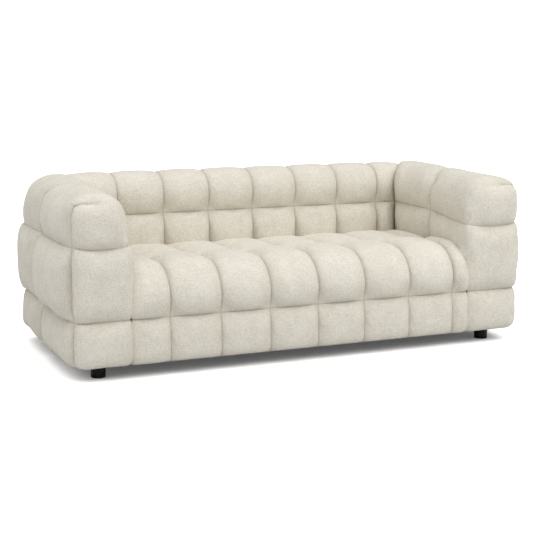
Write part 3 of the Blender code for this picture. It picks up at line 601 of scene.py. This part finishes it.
def arm_shape(plan, fill, leaning):
    """Points, quads, gaps to the seams and held points of an arm, mitred against the back."""
    sizes = plan.sizes
    plain, quads, seam, capped, rear_part = arm_grid(plan)
    x, y, z = plain.T
    end = plan.arm_end_at(x)
    at_end = rear_part > 1 - TOUCH
    to_mitre = ease(y, end - MITRE_BLEND, end)
    outwards = (x - plan.arm_in) / sizes.arm_width
    off_cap = ease(y, plan.front, plan.front + CAP_BLEND)
    inner_radius = mix(mix(CAP_INNER_RADIUS, ARM_TOP_RADIUS, off_cap), BACK_TOP_RADIUS, to_mitre)
    outer_radius = mix(CAP_OUTER_RADIUS, ARM_TOP_RADIUS, off_cap)
    top_drop = mix(CAP_INNER_DROP, CAP_OUTER_DROP, outwards)
    top_drop = mix(top_drop, mix(ARM_TOP_RADIUS, ARM_TOP_DROP, outwards), off_cap)
    past_mitre = ease(x, plan.mitre_end, plan.arm_out)
    top_drop = mix(top_drop, BACK_TOP_RADIUS, to_mitre * (1 - past_mitre))
    front_radius = mix(joint_radius(z, sizes), EDGE_RADIUS, outwards)
    to_rear = ease(y, plan.arm_cross, plan.rear)
    corner_radius = mix(BOTTOM_RADIUS, REAR_CORNER_RADIUS, ease(z, sizes.underside, sizes.low_seam))
    side_radius = mix(EDGE_RADIUS, REAR_CORNER_RADIUS, to_rear)
    rear_radius = mix(BOTTOM_RADIUS, corner_radius, past_mitre)
    rear_top_radius = mix(BACK_TOP_RADIUS, ARM_TOP_RADIUS, past_mitre)
    place, normal = soft_block(
        plain,
        ((plan.arm_in, plan.front, sizes.underside),
         (JOINT_RADIUS, front_radius, BOTTOM_RADIUS),
         (inner_radius, ARM_FRONT_TOP_RADIUS, BOTTOM_RADIUS)),
        ((plan.arm_out, plan.rear, sizes.arm_height),
         (side_radius, rear_radius, top_drop),
         (outer_radius, rear_top_radius, top_drop)),
    )
    on_front = y < plan.front + TOUCH
    on_inside = (x < plan.arm_in + TOUCH) & ~on_front
    on_outside = (x > plan.arm_out - TOUCH) & ~on_front
    on_top = (z > sizes.arm_height - TOUCH) & ~on_front & ~on_inside & ~on_outside
    on_rear = at_end & (x > plan.mitre_end) & ~on_outside & ~on_top
    top_level = sizes.arm_height
    rise = top_level - sizes.high_seam
    to_top = ease(z, sizes.high_seam, top_level)
    behind_front = ease(y, plan.front, plan.front + FRONT_BLEND)
    from_inside = x - plan.arm_in
    from_outside = plan.arm_out - x
    far = 1.0

    # Seam round the front panel: up the outer side, then across the top, where it fades inwards
    side_gap = np.where(on_outside, np.abs(y - seam), far)
    side_gap = np.where(on_front, FRONT_SEAM_BACK + from_outside, side_gap)
    side_gap = np.where(on_top & capped, seam - y + from_outside, side_gap)
    cap_gap = np.where(on_front | on_outside & capped, FRONT_SEAM_TOP + top_level - z, far)
    cap_gap = np.where(on_top, np.abs(y - seam), cap_gap)
    cap_depth = ease(from_inside, CAP_FADE_START, CAP_FADE_END)
    round_front = swell(side_gap, FRONT_REACH) * swell(cap_gap, rise / 2, CAP_DEPTH * cap_depth)

    # Seam across the arm, shallow over the top
    over = np.where(on_top, np.minimum(from_inside, from_outside), 0.0)
    over_top = swell(over, sizes.arm_width / 2)
    cross = plan.arm_cross_at(x)
    cross_gap = np.where(on_front | on_rear, far, np.abs(y - cross))
    ahead = y < cross
    cross_reach = np.where(ahead & on_outside, CROSS_FRONT_REACH, CROSS_REACH)
    across = swell(cross_gap, cross_reach, mix(1.0, ARM_TOP_NOTCH, over_top))

    # Creases against the seat and against the back
    drop = np.clip(SEAT_NOSE_RADIUS - (y - plan.front), 0.0, SEAT_NOSE_RADIUS)
    level = sizes.seat_height - SEAT_NOSE_RADIUS + np.sqrt(SEAT_NOSE_RADIUS ** 2 - drop ** 2)
    clear = ease(z, level - CREASE_BELOW, level + CREASE_ABOVE)
    crease_gap = np.where(on_front, SIDE_TUCK + from_inside, np.where(on_inside, 0.0, far))
    crease = swell(crease_gap, sizes.arm_width / 4, 1 - clear)
    corner_gap = np.hypot(np.maximum(x - plan.mitre_end, 0.0), end - y)
    corner_gap = np.where(on_inside | on_rear | on_top, corner_gap, far)
    corner = swell(corner_gap, PANEL_REACH, mix(1.0, TOP_NOTCH, to_top))

    # Rows, and how high the panels of each of them stand
    reach = np.where(on_front | on_outside & capped, rise / 2, TOP_REACH)
    reach = np.where(on_inside, mix(rise / 2, TOP_REACH, behind_front), reach)
    most = np.where(on_outside & ~capped | on_rear, OUTER_ROW_REACH, PANEL_REACH)
    row = stacked(z, sizes, swell(z - sizes.high_seam + over, reach, ROW_DEPTH), most)
    along_back = ramp(end, plan.back_face, plan.rear)
    height = mix(fill.arm_top, mix(fill.back_upper, fill.back_rear, along_back), to_mitre)
    off_front = ease(y, plan.front, plan.arm_cross)
    outer_part = np.where(ahead, mix(FRONT_TOP_PART, 1.0, off_front), OUTER_TOP_PART)
    past_edge = from_outside + np.where(on_outside | on_rear, z - top_level, 0.0)
    height *= mix(outer_part, 1.0, ease(past_edge, -ARM_TOP_RADIUS, ARM_TOP_RADIUS))
    inner_part = mix(INNER_TOP_PART, 1.0, off_front)
    near_edge = np.where(on_front, 1 - ramp(from_inside, 0.0, CAP_INNER_RADIUS), on_inside)
    past_edge = from_inside + near_edge * (z - top_level)
    height *= mix(inner_part, 1.0, ease(past_edge, -CAP_INNER_RADIUS, CAP_INNER_RADIUS))
    outer_height = np.where(ahead, fill.arm_outer_front, fill.arm_outer)
    outer_height = mix(fill.back_rear, outer_height, past_mitre)
    front_height = mix(fill.arm_inner, fill.arm_front, ease(from_inside, 0.0, FRONT_BLEND))
    middle_height = np.where(on_inside, fill.arm_inner, outer_height)
    middle_height = np.where(on_front | on_outside & capped, front_height, middle_height)
    low_height = fill.low * np.where(on_inside, 1.0, mix(1.0, LOW_REAR_PART, to_rear))
    middle = z <= sizes.high_seam
    height = np.where(middle, middle_height, height)
    height = np.where(z <= sizes.low_seam, low_height, height)

    rows = np.where(on_top, far, seam_gap(z, (sizes.low_seam, sizes.high_seam)))
    uprights = np.minimum(cross_gap, np.where(on_outside, side_gap, far))
    inside = at_end & ~on_rear & ~on_inside & ~on_top & ~on_outside
    hidden = (z < sizes.underside + TOUCH) | inside
    drawn = knot(uprights, rows)
    puff = np.where(hidden, 0.0, height * row * round_front * across * crease * corner * drawn)
    start = place + normal * (puff * PLUMP_START)[:, None]

    # Painted shade along the seams
    cap_line = np.abs(y - seam) + CAP_FADE * (1 - cap_depth)
    cap_line = np.where(on_top | on_outside, cap_line, far)
    shadow = mix(OVERSHADOWED, 1.0, ease(from_outside, 0.0, ARM_TOP_RADIUS))
    shaded = np.where(ahead, uprights, np.minimum(shadow * cross_gap, uprights))
    gap = np.minimum(np.minimum(shaded, rows), cap_line)
    joint = np.where(on_front & (clear < TOUCH), from_inside, np.where(on_inside, end - y, far))
    gap = np.where(hidden, 0.0, np.minimum(gap, joint))

    # Fall of the top and of the high seam, fit of the end to the mitre, recess and lean
    to_front = ramp(y, plan.arm_cross, plan.front)
    start[:, 2] -= to_top * (FRONT_FALL * to_front + plan.fall_at(x, y))
    near_seam = np.where(middle, ease(z, sizes.low_seam, sizes.high_seam), 1 - to_top)
    fall = ARM_SEAM_DROP * np.maximum(1 - off_front, past_mitre)
    fall += ARM_SEAM_SAG * np.where(on_front, 4 * outwards * (1 - outwards), 0.0)
    start[:, 2] -= fall * near_seam
    to_end = np.where(x < plan.mitre_end - TOUCH, rear_part, 0.0)
    moved = start[:, 1] - y
    bent_end = plan.arm_end_at(start[:, 0]) - end
    start[:, 1] += to_end * bent_end
    start[:, 0] += to_end * (plan.back_end_at(end + moved + bent_end) - start[:, 0])
    recess = (y > plan.front + COVER_LIP) & (y < plan.rear - COVER_LIP)
    draw_up(start, recess & (x < plan.arm_out - COVER_LIP), sizes.underside)
    if leaning:
        start[:, 0] -= plan.lean_at(y) * (1 - outwards)
    return start, quads, gap, hidden | at_end & (x < plan.mitre_end)


def node_middle(node):
    """Middle of a node's box."""
    return np.mean(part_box(node), axis=0)


def add_piece(name, points, faces, material, slot, *nodes):
    """New smooth mesh object that rides on the frame and stands for some of its nodes."""
    mesh = bpy.data.meshes.new(name)
    mesh.from_pydata([tuple(point) for point in points], [], [tuple(face) for face in faces])
    mesh.materials.append(material)
    mesh.shade_smooth()
    piece = bpy.data.objects.new(name, mesh)
    bpy.context.scene.collection.objects.link(piece)
    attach(piece, BODY)
    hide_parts(*nodes)
    return piece


def add_cover(name, shape, material, *nodes):
    """Quilted cover with its seams marked and its held points pinned."""
    points, quads, gap, held = shape
    cover = add_piece(name, points, quads, material, "boucle_fabric", *nodes)
    marks = cover.data.attributes.new("seam", "FLOAT", "POINT")
    # The seam mark fades with the gap to the nearest seam; the cloth paints shade along it
    marks.data.foreach_set("value", np.exp(-gap / SHADE_REACH))
    pins = cover.vertex_groups.new(name="pins")
    pins.add(np.nonzero((gap < TOUCH) | held)[0].tolist(), 1.0, "REPLACE")
    return cover


def mirrored(shape):
    """The left-hand twin of a right-hand shape."""
    points, quads, gap, held = shape
    return points * (-1.0, 1.0, 1.0), quads[:, ::-1], gap, held


def coordinates(mesh):
    """Points of a mesh as an array."""
    flat = np.empty(3 * len(mesh.vertices))
    mesh.vertices.foreach_get("co", flat)
    return flat.reshape(-1, 3)


def plump(covers):
    """Swell the covers between their pinned seams with air pressure."""
    scene = bpy.context.scene
    scene.frame_start = 1
    scene.frame_end = PLUMP_FRAMES
    for cover in covers:
        cloth = cover.modifiers.new("plump", "CLOTH")
        cloth.point_cache.frame_start = 1
        cloth.point_cache.frame_end = PLUMP_FRAMES
        for name, value in PLUMP_CLOTH.items():
            setattr(cloth.settings, name, value)
        cloth.settings.effector_weights.gravity = 0
        cloth.collision_settings.use_collision = False
    for step in range(1, PLUMP_FRAMES + 1):
        scene.frame_set(step)
    graph = bpy.context.evaluated_depsgraph_get()
    for cover in covers:
        start = coordinates(cover.data)
        move = coordinates(cover.evaluated_get(graph).data) - start
        reach = np.linalg.norm(move, axis=1, keepdims=True)
        if reach.max() < TOUCH:
            raise RuntimeError(f"{cover.name} was not plumped")
        move *= PLUMP_CAP * np.tanh(reach / PLUMP_CAP) / np.maximum(reach, TOUCH)
        cover.modifiers.remove(cover.modifiers["plump"])
        cover.data.vertices.foreach_set("co", (start + move).ravel())
        cover.data.update()
    scene.frame_set(1)


def smooth(covers):
    """Round the covers by one subdivision that keeps the seams crisp."""
    for cover in covers:
        mesh = cover.data
        seam = np.empty(len(mesh.vertices))
        mesh.attributes["seam"].data.foreach_get("value", seam)
        ends = np.empty(2 * len(mesh.edges), dtype=int)
        mesh.edges.foreach_get("vertices", ends)
        sewn = seam[ends].reshape(-1, 2).min(axis=1) > 1 - TOUCH
        crease = mesh.attributes.new("crease_edge", "FLOAT", "EDGE")
        crease.data.foreach_set("value", sewn.astype(float))
        rounding = cover.modifiers.new("rounding", "SUBSURF")
        rounding.levels = 1
        rounding.render_levels = 1


def lathe(profile, centre):
    """Points and faces of a turned piece; its profile gives radii and heights from below."""
    turn = np.arange(FOOT_SIDES) * 2 * np.pi / FOOT_SIDES
    points = [
        (centre[0] + radius * math.cos(angle), centre[1] + radius * math.sin(angle), height)
        for radius, height in profile for angle in turn
    ]
    number = np.arange(len(points)).reshape(-1, FOOT_SIDES)
    beside = np.roll(number, -1, axis=1)
    quads = np.stack((number[:-1], beside[:-1], beside[1:], number[1:]), axis=-1).reshape(-1, 4)
    return points, [number[0][::-1], *quads, number[-1]]


def cloth_lines(start, end, holes=()):
    """Lines over a cloth, with one to either side of each hole and none across it."""
    half = BOLT_HOLE / 2
    lines = np.linspace(start, end, max(2, round((end - start) / CLOTH_CELL) + 1))
    lines = [line for line in lines if all(abs(line - hole) > BOLT_HOLE for hole in holes)]
    return np.array(sorted([*lines, *(hole + side * half for hole in holes for side in (-1, 1))]))


def cloth_grid(xs, ys, holes=()):
    """Flat points and faces of a cloth, open where something passes through it."""
    x, y = (lines.ravel() for lines in np.meshgrid(xs, ys, indexing="ij"))
    number = np.arange(len(x)).reshape(len(xs), len(ys))
    quads = grid_quads(number)
    middle_x, middle_y = x[quads].mean(axis=1), y[quads].mean(axis=1)
    for hole_x, hole_y in holes:
        kept = np.hypot(middle_x - hole_x, middle_y - hole_y) > BOLT_HOLE / 2
        quads, middle_x, middle_y = quads[kept], middle_x[kept], middle_y[kept]
    return x, y, quads


def add_node(tree, kind, inputs=None, output=None, **settings):
    """Add a shader node, set it up and feed its inputs; give its named or else first output."""
    node = tree.nodes.new("ShaderNode" + kind)
    for name, value in settings.items():
        setattr(node, name, value)
    for name, value in (inputs or {}).items():
        if isinstance(value, bpy.types.NodeSocket):
            tree.links.new(value, node.inputs[name])
        else:
            node.inputs[name].default_value = value
    if output:
        return node.outputs[output]
    return next((socket for socket in node.outputs if socket.enabled), None)


def new_material(name):
    """Empty node material."""
    material = bpy.data.materials.new(name)
    material.use_nodes = True
    material.node_tree.nodes.clear()
    return material, material.node_tree


def rgba(values, part=1.0):
    """Colour with full alpha, or a darker or brighter one."""
    return (*(part * value for value in values), 1.0)


def streaks(tree, place, long, wide, axis, detail):
    """Noise with streaks of some length and width in metres along one axis."""
    scale = [1 / wide] * 3
    scale[axis] = 1 / long
    stretched = add_node(tree, "VectorMath", {0: place, 1: scale}, operation="MULTIPLY")
    return add_node(tree, "TexNoise", {"Vector": stretched, "Scale": 1.0, "Detail": detail})


def boucle_cloth(colours):
    """Bouclé upholstery cloth: loosely woven looped yarn, so its face is matte and nubbly."""
    # Real loops and slubs are about 2 mm wide; they are drawn coarser, since those wouldn't show
    loop_size = 0.0042
    slub_length = 0.020
    slub_width = 0.0034
    patch_size = 0.06
    patch_tone = 0.08
    pile_height = 0.0016
    # Seam mark: where its crisp line starts, how dark that line is, and how strong the soft painted
    # shade beside it is
    seam_edge = 0.82
    seam_line = 0.4
    painted_seam_shade = 0.2
    material, tree = new_material("boucle_cloth")
    place = add_node(tree, "TexCoord", output="Object")
    total = 0.0
    for axis in range(3):
        slub = streaks(tree, place, slub_length, slub_width, axis, detail=1.0)
        total = add_node(tree, "Math", {0: total, 1: slub}, operation="ADD")
    slubs = add_node(tree, "MapRange", {"Value": total, "From Min": 1.1, "From Max": 1.9})
    loops = add_node(tree, "TexVoronoi", {"Vector": place, "Scale": 1 / loop_size},
                     feature="SMOOTH_F1")
    nubs = add_node(tree, "MapRange", {"Value": loops, "From Min": 0.75, "From Max": 0.1})
    pile = add_node(tree, "Math", {0: slubs, 1: nubs}, operation="ADD")
    half = add_node(tree, "Math", {0: pile, 1: 0.5}, operation="MULTIPLY")
    patches = add_node(tree, "TexNoise", {"Vector": place, "Scale": 1 / patch_size, "Detail": 3.0})
    tone = add_node(tree, "MapRange",
                    {"Value": patches, **NOISE, "To Min": -patch_tone, "To Max": patch_tone})
    # The cloth turns darker where its pile lies low, painted shade in the hollows between the
    # loops, and a random patch tone shifts it
    lit = add_node(tree, "Math", {0: half, 1: tone}, operation="ADD", use_clamp=True)
    tones = {"A": rgba(colours.cloth_shade), "B": rgba(colours.cloth)}
    face = add_node(tree, "Mix", {"Factor": lit, **tones}, data_type="RGBA")
    # Along the seams the cloth is mixed towards the seam colour: a crisp line, partly the seam's
    # own dark and partly painted crease shade, and a soft painted shade that fades away from it
    seam = add_node(tree, "Attribute", output="Fac", attribute_name="seam")
    line = add_node(tree, "MapRange",
                    {"Value": seam, "From Min": seam_edge, "From Max": 1.0, "To Max": seam_line})
    drawn = add_node(tree, "Math", {0: seam, 1: painted_seam_shade, 2: line}, operation="MULTIPLY_ADD")
    tones = {"A": face, "B": rgba(colours.painted_seam_shade)}
    shaded = add_node(tree, "Mix", {"Factor": drawn, **tones}, data_type="RGBA")
    relief = {"Height": half, "Strength": 0.8, "Distance": pile_height}
    shader = add_node(tree, "BsdfPrincipled", {
        "Base Color": shaded,
        "Roughness": add_node(tree, "MapRange", {"Value": half, "To Min": 1.0, "To Max": 0.86}),
        "Normal": add_node(tree, "Bump", relief),
        "Specular IOR Level": 0.2,
        "Sheen Weight": 0.25,
        "Sheen Roughness": 0.45,
        "Sheen Tint": rgba(colours.cloth),
    })
    add_node(tree, "OutputMaterial", {"Surface": shader})
    return material


def streaked(name, light, dark, streak, width, roughness, relief, metallic=0.0, axis=0, shine=0.5):
    """Material in two tones, streaked along one axis by some length and width in metres."""
    material, tree = new_material(name)
    place = add_node(tree, "TexCoord", output="Object")
    noise = streaks(tree, place, streak, width, axis, detail=3.0)
    tone = add_node(tree, "MapRange", {"Value": noise, **NOISE})
    face = add_node(tree, "Mix", {"Factor": tone, "A": light, "B": dark}, data_type="RGBA")
    shader = add_node(tree, "BsdfPrincipled", {
        "Base Color": face,
        "Roughness": add_node(tree, "MapRange", {
            "Value": tone,
            "To Min": (1 - ROUGHNESS_SPREAD) * roughness,
            "To Max": min(1.0, (1 + ROUGHNESS_SPREAD) * roughness),
        }),
        "Normal": add_node(tree, "Bump", {"Height": noise, "Strength": 0.6, "Distance": relief}),
        "Metallic": metallic,
        "Specular IOR Level": shine,
    })
    add_node(tree, "OutputMaterial", {"Surface": shader})
    return material


def inner_finish(slot, axis):
    """Material for a slot of the frame, its streaks along one axis; made once for each axis."""
    name, light, dark, *rest = INNER_FINISHES[slot]
    name = f"{name}_{'xyz'[axis]}"
    made = bpy.data.materials.get(name)
    return made or streaked(name, rgba(linear(light)), rgba(linear(dark)), *rest, axis=axis)


class SOFA_OT_covers(bpy.types.Operator):
    """Sew and plump the quilted covers of the seat, the back and the arms"""

    bl_idname = "sofa.covers"
    bl_label = "Quilted covers"

    def execute(self, context):
        scene = context.scene
        plan = Plan(scene.sofa_sizes)
        fill = scene.sofa_fill
        cloth = boucle_cloth(scene.sofa_colours)
        covers = [
            add_cover("seat_quilt", seat_shape(plan, fill), cloth,
                      "seat_cover", "seat_foam", "front_rail_foam"),
            add_cover("back_quilt", back_shape(plan, fill), cloth, "back_cover", "back_foam"),
        ]
        for side in SIDES:
            right = side == "right"
            shape = arm_shape(plan, fill, leaning=right)
            covers.append(add_cover(f"arm_quilt_{side}", shape if right else mirrored(shape), cloth,
                                    f"arm_cover_{side}", f"arm_foam_{side}"))
        plump(covers)
        smooth(covers)
        return {"FINISHED"}


class SOFA_OT_feet(bpy.types.Operator):
    """Turn the four round feet"""

    bl_idname = "sofa.feet"
    bl_label = "Feet"

    def execute(self, context):
        # Moulded plastic: near black, with a weak satin shine and the faint grain of its mould
        tone = context.scene.sofa_colours.feet
        plastic = streaked("moulded_plastic", rgba(tone), rgba(tone, FOOT_DARK), streak=0.0012,
                           width=0.0012, roughness=0.42, relief=0.00006, shine=FOOT_SHINE)
        for corner in CORNERS:
            leg = f"leg_{corner}"
            low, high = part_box(leg)
            radius = (high[0] - low[0]) / 2
            profile = []
            for step in range(RIM_STEPS + 1):
                angle = math.pi / 2 * step / RIM_STEPS
                rim = radius - FOOT_RIM * (1 - math.sin(angle))
                profile.append((rim, FOOT_RIM * (1 - math.cos(angle))))
            profile += [(rim, low[2] + high[2] - height) for rim, height in reversed(profile)]
            points, faces = lathe(profile, node_middle(leg))
            add_piece(f"foot_{corner}", points, faces, plastic, "black_legs", leg)
        return {"FINISHED"}


class SOFA_OT_dust_cloth(bpy.types.Operator):
    """Stretch the dust cloth under the frame"""

    bl_idname = "sofa.dust_cloth"
    bl_label = "Dust cloth"

    def execute(self, context):
        bolts = [node_middle(f"leg_bolt_{corner}")[:2] for corner in CORNERS]
        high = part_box("dust_cloth")[1]
        wide = high[0] - DUST_CLOTH_MARGIN
        deep = high[1] - DUST_CLOTH_MARGIN / 2
        xs = cloth_lines(-wide, wide, sorted({round(x, 6) for x, y in bolts}))
        ys = cloth_lines(-deep, deep, sorted({round(y, 6) for x, y in bolts}))
        x, y, quads = cloth_grid(xs, ys, bolts)
        sag = DUST_CLOTH_SAG * (1 - (x / wide) ** 2) * (1 - (y / deep) ** 2)
        z = node_middle("dust_cloth")[2] - sag
        # Spun-bonded cloth: thin black felted threads without a weave, dull
        tone = context.scene.sofa_colours.dust_cloth
        cloth = streaked("spun_bonded_cloth", rgba(tone), rgba(tone, DUST_CLOTH_DARK),
                         streak=0.007, width=0.0012, roughness=0.9, relief=0.0002)
        sheet = add_piece("dust_sheet", np.stack((x, y, z), axis=1), quads[:, ::-1], cloth,
                          "dust_cloth", "dust_cloth")
        return {"FINISHED"}


class SOFA_OT_inner_cloths(bpy.types.Operator):
    """Lay the felt on the springs and stretch the webbing over the back's posts"""

    bl_idname = "sofa.inner_cloths"
    bl_label = "Felt and webbing"

    def execute(self, context):
        low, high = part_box("spring_felt")
        x, y, quads = cloth_grid(cloth_lines(low[0], high[0]), cloth_lines(low[1], high[1]))
        ripple = FELT_RIPPLE * np.sin(x / CLOTH_CELL) * np.sin(y / CLOTH_CELL)
        z = node_middle("spring_felt")[2] + ripple
        felt = add_piece("felt_sheet", np.stack((x, y, z), axis=1), quads,
                         inner_finish("felt", 0), "felt", "spring_felt")
        for number in range(1, STRAP_COUNT + 1):
            node = f"back_webbing_{number}"
            low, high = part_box(node)
            x, z, quads = cloth_grid(cloth_lines(low[0], high[0]), cloth_lines(low[2], high[2]))
            tall = high[2] - low[2]
            y = node_middle(node)[1] - STRAP_BOW * np.sin(np.pi * (z - low[2]) / tall)
            strap = add_piece(f"webbing_strap_{number}", np.stack((x, y, z), axis=1), quads,
                              inner_finish("webbing", 0), "webbing", node)
        return {"FINISHED"}


class SOFA_OT_frame_finishes(bpy.types.Operator):
    """Give the timber, boards, springs and bolts inside their finishes"""

    bl_idname = "sofa.frame_finishes"
    bl_label = "Frame finishes"

    def execute(self, context):
        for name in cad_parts:
            slot = bpy.data.objects[name].material_slots[0]
            if slot.material.name in INNER_FINISHES:
                low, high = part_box(name)
                axis = int(np.argmax(np.subtract(high, low)))
                slot.material = inner_finish(slot.material.name, axis)
        return {"FINISHED"}


class SOFA_OT_stage(bpy.types.Operator):
    """Set up the floor, the lamps, the backdrop and the camera"""

    bl_idname = "sofa.stage"
    bl_label = "Studio"

    def execute(self, context):
        scene = context.scene
        scene.view_settings.view_transform = "Standard"
        self.floor(scene)
        self.backdrop(scene)
        self.lamps(scene)
        self.camera(scene)
        return {"FINISHED"}

    def seen(self, tree):
        """1 for what the camera sees, also mirrored or through something clear; otherwise 0."""
        path = add_node(tree, "LightPath").node.outputs
        seen = path["Is Camera Ray"]
        for ray in ("Is Glossy Ray", "Is Transmission Ray"):
            seen = add_node(tree, "Math", {0: seen, 1: path[ray]}, operation="MAXIMUM")
        return seen

    def floor(self, scene):
        """Pale sheet under the sofa that keeps its shadow."""
        mesh = bpy.data.meshes.new("studio_floor")
        square = ((-1, -1), (1, -1), (1, 1), (-1, 1))
        mesh.from_pydata([(FLOOR_REACH * x, FLOOR_REACH * y, 0) for x, y in square], [], [range(4)])
        floor = bpy.data.objects.new("studio_floor", mesh)
        scene.collection.objects.link(floor)
        material, tree = new_material("studio_floor")
        seen = self.seen(tree)
        paint = scene.sofa_colours.floor
        tones = {"A": rgba(paint, FLOOR_BOUNCE), "B": rgba(paint, FLOOR_LIFT)}
        glow = add_node(tree, "Math", {0: seen, 1: FLOOR_GLOW}, operation="MULTIPLY")
        shader = add_node(tree, "BsdfPrincipled", {
            "Base Color": add_node(tree, "Mix", {"Factor": seen, **tones}, data_type="RGBA"),
            "Roughness": 1.0,
            "Specular IOR Level": 0.0,
            "Emission Color": (1.0, 1.0, 1.0, 1.0),
            "Emission Strength": glow,
        })
        add_node(tree, "OutputMaterial", {"Surface": shader})
        mesh.materials.append(material)

    def backdrop(self, scene):
        """White surround; only the light that it casts is dimmed."""
        world = bpy.data.worlds.new("studio")
        world.use_nodes = True
        tree = world.node_tree
        tree.nodes.clear()
        strength = add_node(tree, "MapRange",
                            {"Value": self.seen(tree), "To Min": SURROUND, "To Max": 1.0})
        light = add_node(tree, "Background", {"Color": (1.0, 1.0, 1.0, 1.0), "Strength": strength})
        add_node(tree, "OutputWorld", {"Surface": light})
        scene.world = world

    def lamps(self, scene):
        """Very wide lamp from above and in front, and a large soft one off to either side."""
        for name, kind, settings, place in LAMPS:
            light = bpy.data.lights.new(name, kind)
            for setting, value in settings.items():
                setattr(light, setting, value)
            lamp = bpy.data.objects.new(name, light)
            lamp.location = place
            lamp.rotation_euler = (-Vector(place)).to_track_quat("-Z", "Y").to_euler()
            scene.collection.objects.link(lamp)

    def camera(self, scene):
        """Camera at the photograph's place."""
        data = bpy.data.cameras.new("camera")
        data.sensor_width = SENSOR
        data.lens = SENSOR * FOCAL_PIXELS / FRAME_PIXELS
        camera = bpy.data.objects.new("camera", data)
        yaw = Matrix.Rotation(-CAMERA_YAW, 4, "Z")
        pitch = Matrix.Rotation(math.pi / 2 - CAMERA_PITCH, 4, "X")
        camera.matrix_world = Matrix.Translation(CAMERA_PLACE) @ yaw @ pitch
        scene.collection.objects.link(camera)
        scene.camera = camera


class SOFA_PT_panel(bpy.types.Panel):
    """Sizes, colours and building steps of the sofa"""

    bl_idname = "SOFA_PT_panel"
    bl_label = "Box-quilted sofa"
    bl_space_type = "VIEW_3D"
    bl_region_type = "UI"
    bl_category = "Sofa"

    def draw(self, context):
        column = self.layout.column()
        for operator in OPERATORS:
            column.operator(operator.bl_idname)
        for group, kind in GROUPS:
            for name in kind.__annotations__:
                column.prop(getattr(context.scene, group), name)


GROUPS = (("sofa_sizes", SofaSizes), ("sofa_fill", SofaFill), ("sofa_colours", SofaColours))
OPERATORS = (
    SOFA_OT_stage, SOFA_OT_covers, SOFA_OT_feet,
    SOFA_OT_dust_cloth, SOFA_OT_inner_cloths, SOFA_OT_frame_finishes,
)


def register():
    """Make the classes and the scene's settings known to Blender."""
    for name, group in GROUPS:
        bpy.utils.register_class(group)
        setattr(bpy.types.Scene, name, bpy.props.PointerProperty(type=group))
    for kind in (*OPERATORS, SOFA_PT_panel):
        bpy.utils.register_class(kind)


def unregister():
    """Take them out again."""
    for kind in reversed((*OPERATORS, SOFA_PT_panel)):
        bpy.utils.unregister_class(kind)
    for name, group in reversed(GROUPS):
        delattr(bpy.types.Scene, name)
        bpy.utils.unregister_class(group)


def main():
    """Build the looks step by step."""
    register()
    for operator in OPERATORS:
        group, name = operator.bl_idname.split(".")
        getattr(getattr(bpy.ops, group), name)()


if __name__ == "__main__":
    main()
